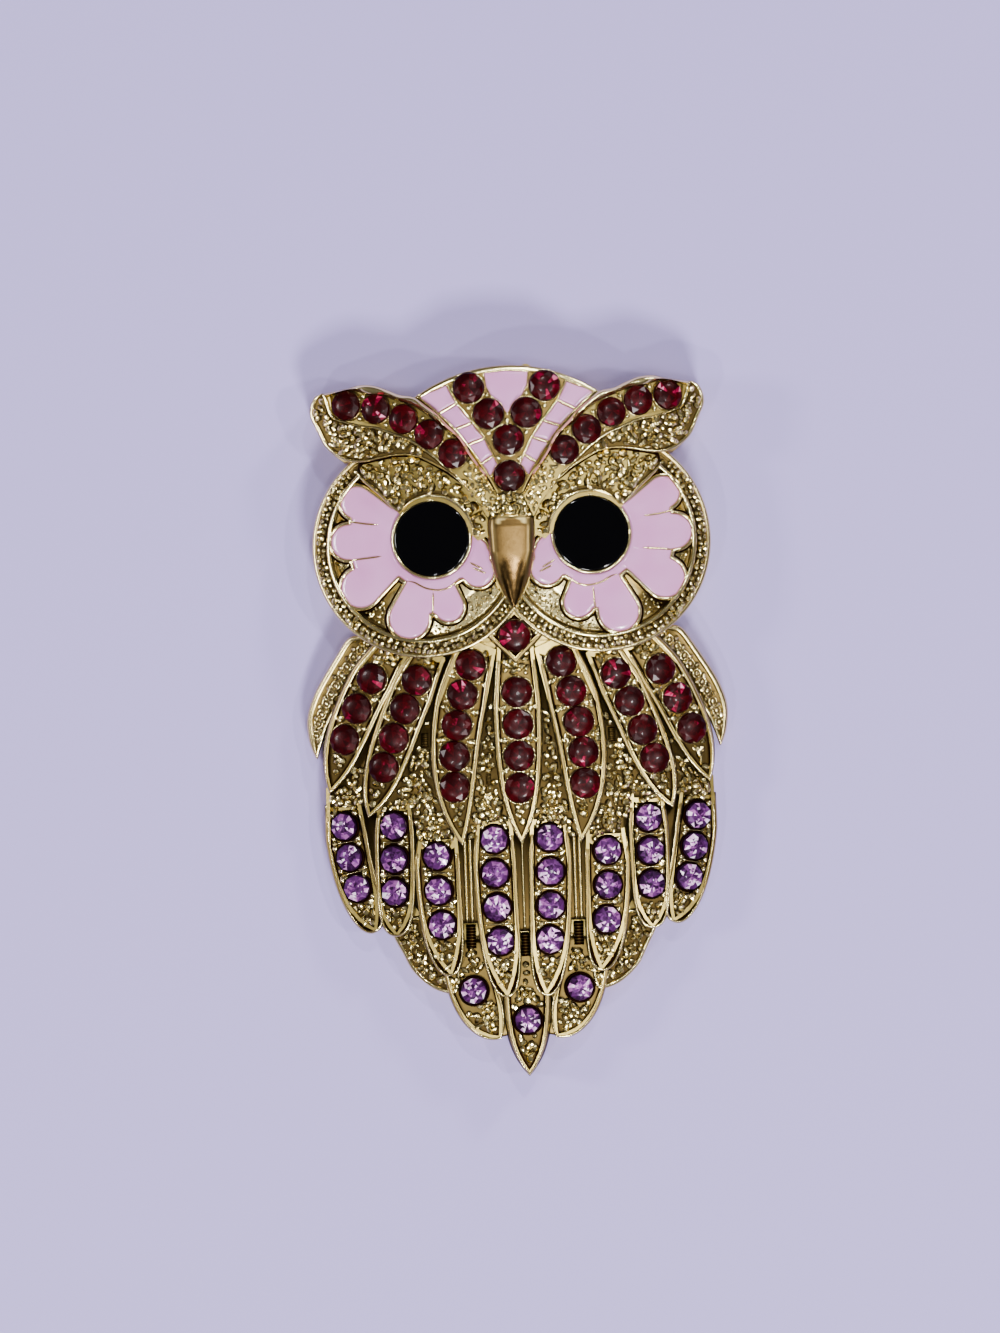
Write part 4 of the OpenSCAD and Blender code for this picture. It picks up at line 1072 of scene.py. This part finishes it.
# Edge profiles, columns: edge, offset, height, shade; their low rows are painted dark as painted shade.
LINE_EDGE = [(0, 0.0, 0.05, 0.5), (0, 0.06, 0.16, 0.0), (0, 0.18, 0.2, 0.0), (0, 0.28, 0.14, 0.1),
             (0, 0.34, 0.03, 0.9), (0, 0.42, 0.02, 0.9), (0, 0.47, 0.02, 0.8)]
FOOT_EDGE = [(1, *row[1:]) for row in LINE_EDGE[::-1]]
ROLLED = [(0, 0.0, 0.05, 0.6), (0, 0.08, 0.3, 0.0), (0, 0.22, 0.44, 0.0), (0, 0.4, 0.5, 0.0),
          (1, 0.35, 0.46, 0.0), (1, 0.15, 0.34, 0.0), (1, 0.04, 0.16, 0.3), (1, 0.0, 0.05, 0.9)]
LID_TOP = [[12.55, 21.3], [12.2, 21.9], [9.8, 22.35], [8.4, 22.4], [6.9, 21.95], [5.1, 20.85], [4.05, 19.95],
           [3.2, 19], [2.45, 18], [2.0, 16.9], [2.0, 16.2]]
LID_FOOT = [[12.7, 21.1], [12.3, 20.5], [10.8, 19.1], [9.4, 17.75], [8.4, 18.4], [7.4, 18.82], [6.4, 18.86],
            [5.4, 18.66], [4.5, 18.1], [3.75, 17.3], [3.28, 16.3], [3.1, 15.5], [2.3, 15.7]]
LID_VEINS = [[[9.9, 21.9], [10.0, 20.6], [9.6, 18.9]], [[12.0, 21.4], [11.3, 20.6], [10.7, 19.6]]]
lid_top, lid_foot = smooth_path(LID_TOP, 80), smooth_path(LID_FOOT, 80)
# Along the top of the eyelid a line is painted dark: painted shade in the gap under the brow band.
gold_piece("brows", both(
    strip(upper, roll, ROLLED, on_head, BROW_LEVEL - 0.01),
    strip(band_top, band_foot, LINE_EDGE + FOOT_EDGE, on_head, BROW_LEVEL),
    strip(lid_top, lid_foot, FOOT_EDGE, on_head, LID_LEVEL),
    dark(line(smooth_path(LID_TOP[:7], 50), 0.3, 0.12, on_head, LID_LEVEL + 0.04, taper=0.1)),
    *[line(smooth_path(v, 20), 0.26, 0.2, on_head, LID_LEVEL + 0.02, taper=0.2) for v in LID_VEINS]))
band_outline = np.concatenate([band_top, band_foot[::-1]])
lid_outline = np.concatenate([lid_top, lid_foot[::-1]])
band_xy = scatter([band_outline], 0.54, 500, 0.32)
lid_xy = scatter([lid_outline], 0.62, 501, 0.3)
inner_v = np.array([[3.25, 22.1], [1.0, 18.9], [0, 19.1], [-1.0, 18.9], [-3.25, 22.1], [-4.3, 20.4],
                    [-2.8, 18.4], [-1.9, 16.9], [1.9, 16.9], [2.8, 18.4], [4.3, 20.4]])
v_xy = scatter([inner_v], 0.48, 502, 0.1, [(V, 1.45), (brow_places, 1.35)])
gold_piece("grains_head", both(flakes(band_xy, 0.31, on_head, BROW_LEVEL + 0.07, (510, 513)),
                               flakes(lid_xy, 0.33, on_head, LID_LEVEL + 0.04, (511, 514)))
           + [flakes(v_xy, 0.28, on_head, 0.95, (512, 515))], False)

# %% [markdown]
# The forehead carries a V of stones, and on both sides of it a ladder of enamel cells. The plate is a strip
# from the crown's arc to the brows, and the cells are small enamel plates with gold lines along and between
# them.

# %% Forehead
FOREHEAD_LEVEL = 0.44
CROWN_R, CROWN_TOP = 13.55, 29.6
crown_x = np.linspace(7.75, -7.75, 120)
crown_arc = CROWN_TOP - CROWN_R + np.sqrt(CROWN_R ** 2 - crown_x ** 2)
crown_foot = np.interp(np.abs(crown_x), [0, 1, 1.7, 2.45, 3.2, 3.9, 5.1, 5.8, 6.85, 7.75],
                       [18.6, 18.9, 20.4, 21.3, 22.3, 23.6, 24.8, 25.6, 26.45, 27.0])
# Inside the crown's bright border the forehead plate is painted darker as painted shade.
CROWN_EDGE = [(0, 0.0, 0.0, 0.4), (0, 0.08, 0.12, 0.0), (0, 0.25, 0.16, 0.0), (0, 0.4, 0.12, 0.0),
              (0, 0.48, 0.01, 0.8), (0, 0.6, 0.0, 0.6), (1, 0.1, 0.0, 0.7), (1, 0.0, 0.0, 0.8)]
forehead = strip(np.stack([crown_x, crown_arc], -1), np.stack([crown_x, crown_foot], -1), CROWN_EDGE, on_head,
                 FOREHEAD_LEVEL - 0.01)
OUT = np.array([[7.45, 27.3], [5.72, 25.75], [4.4, 24.4], [3.4, 23.08], [2.3, 21.46], [1.62, 20.3]])
INN = np.array([[4.95, 28.2], [4.15, 26.6], [2.9, 24.95], [1.95, 23.6], [1.25, 22.16], [0.85, 21.39]])
ladder = [line(smooth_path(rail, 60), 0.24, 0.15, on_head, FOREHEAD_LEVEL) for rail in (OUT, INN)]
ladder += [line(np.linspace(a, b, 8), 0.24, 0.13, on_head, FOREHEAD_LEVEL) for a, b in zip(OUT, INN)]


def cell(corners, height, gap):
    """An enamel plate in a cell: rings inside its outline, the first a gap away, domed towards its middle."""
    rings, spine = shrunk(subdivided(corners, 10), (gap, gap + 0.04, gap + 0.12, gap + 0.24))
    heights = [height - 0.05, height, height + 0.02, height + 0.03]
    return plate(rings, heights, [0, 0, 0, 0], on_head, 0, 0.3, spine)


cells = [cell(np.array([OUT[i], OUT[i + 1], INN[i + 1], INN[i]]), 0.48, 0.15) for i in range(5)]
for name, maker in HALVES:
    piece(f"enamel_ladder_{name}", [maker(c) for c in cells], ENAMEL, True,
          (f"crown_cells_{name}",))
WEDGE = np.array([[-1.85, 29.05], [0, 29.2], [1.85, 29.05], [1.72, 27.9], [1.3, 27.05], [0.5, 26.35],
                  [0, 25.5], [-0.5, 26.35], [-1.3, 27.05], [-1.72, 27.9]])[::-1]
piece("enamel_wedge", [cell(WEDGE, 0.48, 0.07)], ENAMEL, True, ("forehead_enamel",))
wedge_wire = line(subdivided(WEDGE, 8), 0.16, 0.1, on_head, FOREHEAD_LEVEL, True)
gold_piece("forehead_plate", [forehead, wedge_wire] + both(*ladder))

# %% [markdown]
# The beak is a polished hook: flat on top between the eyes, then a rounded ridge that falls to a point. Its
# cross section is an arc whose height shrinks with its width, carried from the forehead to the tip.

# %% Beak and throat
BEAK_TOP_Y, BEAK_LENGTH = 17.2, 7.75
s = np.linspace(0, 1, 80)
beak_y = BEAK_TOP_Y - s * BEAK_LENGTH
half = np.interp(s, [0, 0.04, 0.07, 0.15, 0.4, 0.52, 0.66, 0.87, 0.97, 1.0],
                 [1.75, 1.92, 1.97, 1.99, 1.88, 1.69, 1.45, 0.76, 0.26, 0.04])
crest = np.interp(s, [0, 0.04, 0.12, 0.4, 0.5, 0.6, 0.7, 0.8, 0.9, 0.985, 1.0],
                  [8.9, 9.14, 9.2, 9.14, 9.105, 9.057, 8.991, 8.906, 8.805, 8.706, 8.45])
v = np.array([-1, -0.985, -0.95, -0.88, -0.8, -0.7, -0.55, -0.35, -0.17, 0, 0.17, 0.35, 0.55, 0.7, 0.8, 0.88,
              0.95, 0.985, 1])
base = on_head(np.stack([0 * s, beak_y], -1), -0.5)
off = np.abs(v)[:, None]
hook = np.interp(s, [0.4, 0.75], [0, 1])
drop = (0.05 * off ** 2 + 0.4 * off ** 9) * (1 - hook) + (0.12 * off ** 2 + 0.5 * off ** 4) * hook
rise = (1 - drop) * (crest - base - 0.35) + np.where(off < 1, 0.35, 0)
rise[off[:, 0] == 1] = 0
beak = np.stack([v[:, None] * half, np.broadcast_to(beak_y, (len(v), len(s))), base + rise], -1)
ends = capped(np.concatenate([beak, beak[:1]]).transpose(1, 0, 2))
# The flat top is dull tan. The hook is painted dark, a painted reflection of the dim room, and the darkness
# starts as an arch; the sides are painted lighter, painted light on the bevels.
spread = np.abs(np.append(v, v[0]))[None]
along = np.concatenate([s[:1], s, s[-1:]])[:, None] - 0.22 * spread ** 2
dull = np.interp(along, [0.02, 0.045, 0.42, 0.48], [0.1, 0.5, 0.5, 0.76])
painted_side_light = np.interp(spread, [0.62, 0.7, 0.985, 1.0], [0.0, 1.0, 1.0, 0.0])
beak_shade = dull * (1 - painted_side_light) + 0.4 * painted_side_light
piece("beak", [sheet_of(ends, beak_shade, wrap=False)], PAINTED_MIRROR_GOLD)
ROOM = np.array([[0, 9.3], [-2.27, 7.2], [0, 4.95], [2.27, 7.2]])
# Like a feather's rim, the inside of the throat's cell is painted dark as painted shade.
throat_rings, throat_spine = shrunk(subdivided(ROOM, 12), RIM[:12, 0])
gold_piece("throat_cell", [plate(throat_rings, RIM[:12, 1], RIM[:12, 2], on_body, THROAT_LEVEL, 0.8,
                                 throat_spine)])

# %% [markdown]
# ## Shoulders and the feathers behind
# The shoulders are crescents with a bright outer border and rows of small scales. Behind the flank feathers a
# row of short grained ones shows at the edge.

# %% Shoulders
SHOULDER_LEVEL = 0.7
SHOULDER_OUT = [[12.2, 7.75], [13.2, 7.6], [14, 7.3], [15, 5.9], [16.3, 3.9], [17, 2.6], [17.5, 1.2],
                [17.6, 0], [17.4, -1.4], [16.95, -2.55]]
SHOULDER_IN = [[11.9, 6.6], [11.9, 5.8], [12.6, 5.1], [13.5, 4.1], [14.7, 2.1], [15.5, 0.7], [15.95, -0.1],
               [16.3, -1.0], [16.6, -1.8], [16.85, -2.5]]
out_path, in_path = smooth_path(SHOULDER_OUT, 70), smooth_path(SHOULDER_IN, 70)
# The shoulder's profile, columns: edge, offset, height, shade; its middle groove is painted dark as painted
# shade.
SHOULDER = [(0, -0.03, 0.06, 0.4), (0, 0.04, 0.2, 0.1), (0, 0.12, 0.25, 0.3), (0, 0.38, 0.25, 0.3),
            (0, 0.5, 0.1, 0.6), (0, 0.58, 0.04, 0.8), (1, 0.42, 0.04, 0.8), (1, 0.36, 0.12, 0.3),
            (1, 0.22, 0.2, 0.0), (1, 0.08, 0.14, 0.1), (1, 0.0, 0.02, 0.8)]
scale_at, bead_at = (np.linspace(low, low + 54, 11).astype(int) for low in (3, 6))
scale_xy = out_path[scale_at] * 0.45 + in_path[scale_at] * 0.55
shoulder_xy = np.concatenate([out_path[bead_at] * q + in_path[bead_at] * (1 - q) for q in (0.3, 0.62)])
gold_piece("shoulders", both(strip(out_path, in_path, SHOULDER, on_body, SHOULDER_LEVEL, 0.5, 0.3),
                             tube_ring(scale_xy, 0.36, 0.17, 0.14, on_body, SHOULDER_LEVEL + 0.06, 16),
                             balls(scale_xy, 0.2, on_body, SHOULDER_LEVEL + 0.08)))
BEHIND = np.array([[11.0, -16.4], [10.95, -17.6], [10.2, -19.1], [9.6, -20.3], [8.9, -21.15], [8.06, -21.85],
                   [7.2, -22.3], [6.0, -22.5], [5.6, -21.4], [5.6, -19.5], [6.2, -17.5], [7.4, -16.3],
                   [9.2, -16.0]])[::-1]
behind = smooth_path(BEHIND, 110, True)
# The feather behind is painted dark inside its rim as painted shade.
BEHIND_RIM = np.array([[-0.04, 0.1, 0.4], [0.02, 0.2, 0.0], [0.14, 0.25, 0.0], [0.26, 0.2, 0.0],
                       [0.32, 0.06, 0.8], [0.4, 0.03, 0.9]])
behind_rings = offset_rings(behind, BEHIND_RIM[:, 0])
behind_xy = scatter([behind], GRAIN_STEP, 600, 0.42, (), [(o, 0.1) for o in outline_2])
gold_piece("feathers_behind", both(plate(behind_rings, BEHIND_RIM[:, 1], BEHIND_RIM[:, 2], on_body, 0.02, 1.2,
                                          np.broadcast_to(behind.mean(0), behind.shape))))
gold_piece("grains_edge", both(flakes(behind_xy, 0.28, on_body, 0.08, (601, 603)),
                               flakes(shoulder_xy, 0.22, on_body, 0.82, (602, 604))), False)

# %% [markdown]
# ## What stays from the CAD model
# The hollow casting carries everything: its back, its walls and its ground show between the fine pieces.

# %% CAD nodes that stay
for name, look in (("casting", CAST), ("pin_finding", STEEL)):
    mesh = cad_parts[name].data
    mesh.materials.clear()
    mesh.materials.append(look)

# %% [markdown]
# ## Floor and light
# A plain pale sheet, seven small soft lights, the strongest from the foot of the picture, and a dim room:
# gold only looks like gold when it has something bright and something dark to mirror.

# %% Floor and lights
floor_mesh = bpy.data.meshes.new("floor")
floor_mesh.from_pydata([(-0.6, -0.6, 0), (0.6, -0.6, 0), (0.6, 0.6, 0), (-0.6, 0.6, 0)], [], [(0, 1, 2, 3)])
floor = bpy.data.objects.new("floor", floor_mesh)
bpy.context.scene.collection.objects.link(floor)
CLOTH, _ = material("pale_cloth", Roughness=0.9, Base_Color=linear("#A99BD6"))
floor_mesh.materials.append(CLOTH)

# Square lights that face the owl, columns: name, place, size, power
LIGHTS = [
    ("key", (0.08, -0.30, 0.42), 0.09, 3.2),
    ("side", (-0.42, 0.05, 0.30), 0.08, 1.2),
    ("back", (0.30, 0.36, 0.30), 0.08, 1.2),
    ("flash", (0.03, -0.05, 0.60), 0.05, 0.9),
    ("spark_left", (-0.16, -0.20, 0.50), 0.02, 0.7),
    ("spark_right", (0.24, -0.04, 0.46), 0.02, 0.7),
    ("spark_top", (0.06, 0.22, 0.50), 0.02, 0.7),
]
for name, (x, y, z), size, power in LIGHTS:
    light = bpy.data.objects.new(name, bpy.data.lights.new(name, "AREA"))
    light.data.shape, light.data.size, light.data.energy = "SQUARE", size, power
    light.location = (x, y, z)
    light.rotation_euler = (math.atan2(math.hypot(x, y), z), 0, math.atan2(-y, -x) - math.pi / 2)
    bpy.context.scene.collection.objects.link(light)
world = bpy.data.worlds.new("room")
world.use_nodes = True
world.node_tree.nodes["Background"].inputs["Color"].default_value = linear("#C8C6CC")
world.node_tree.nodes["Background"].inputs["Strength"].default_value = 0.2
bpy.context.scene.world = world
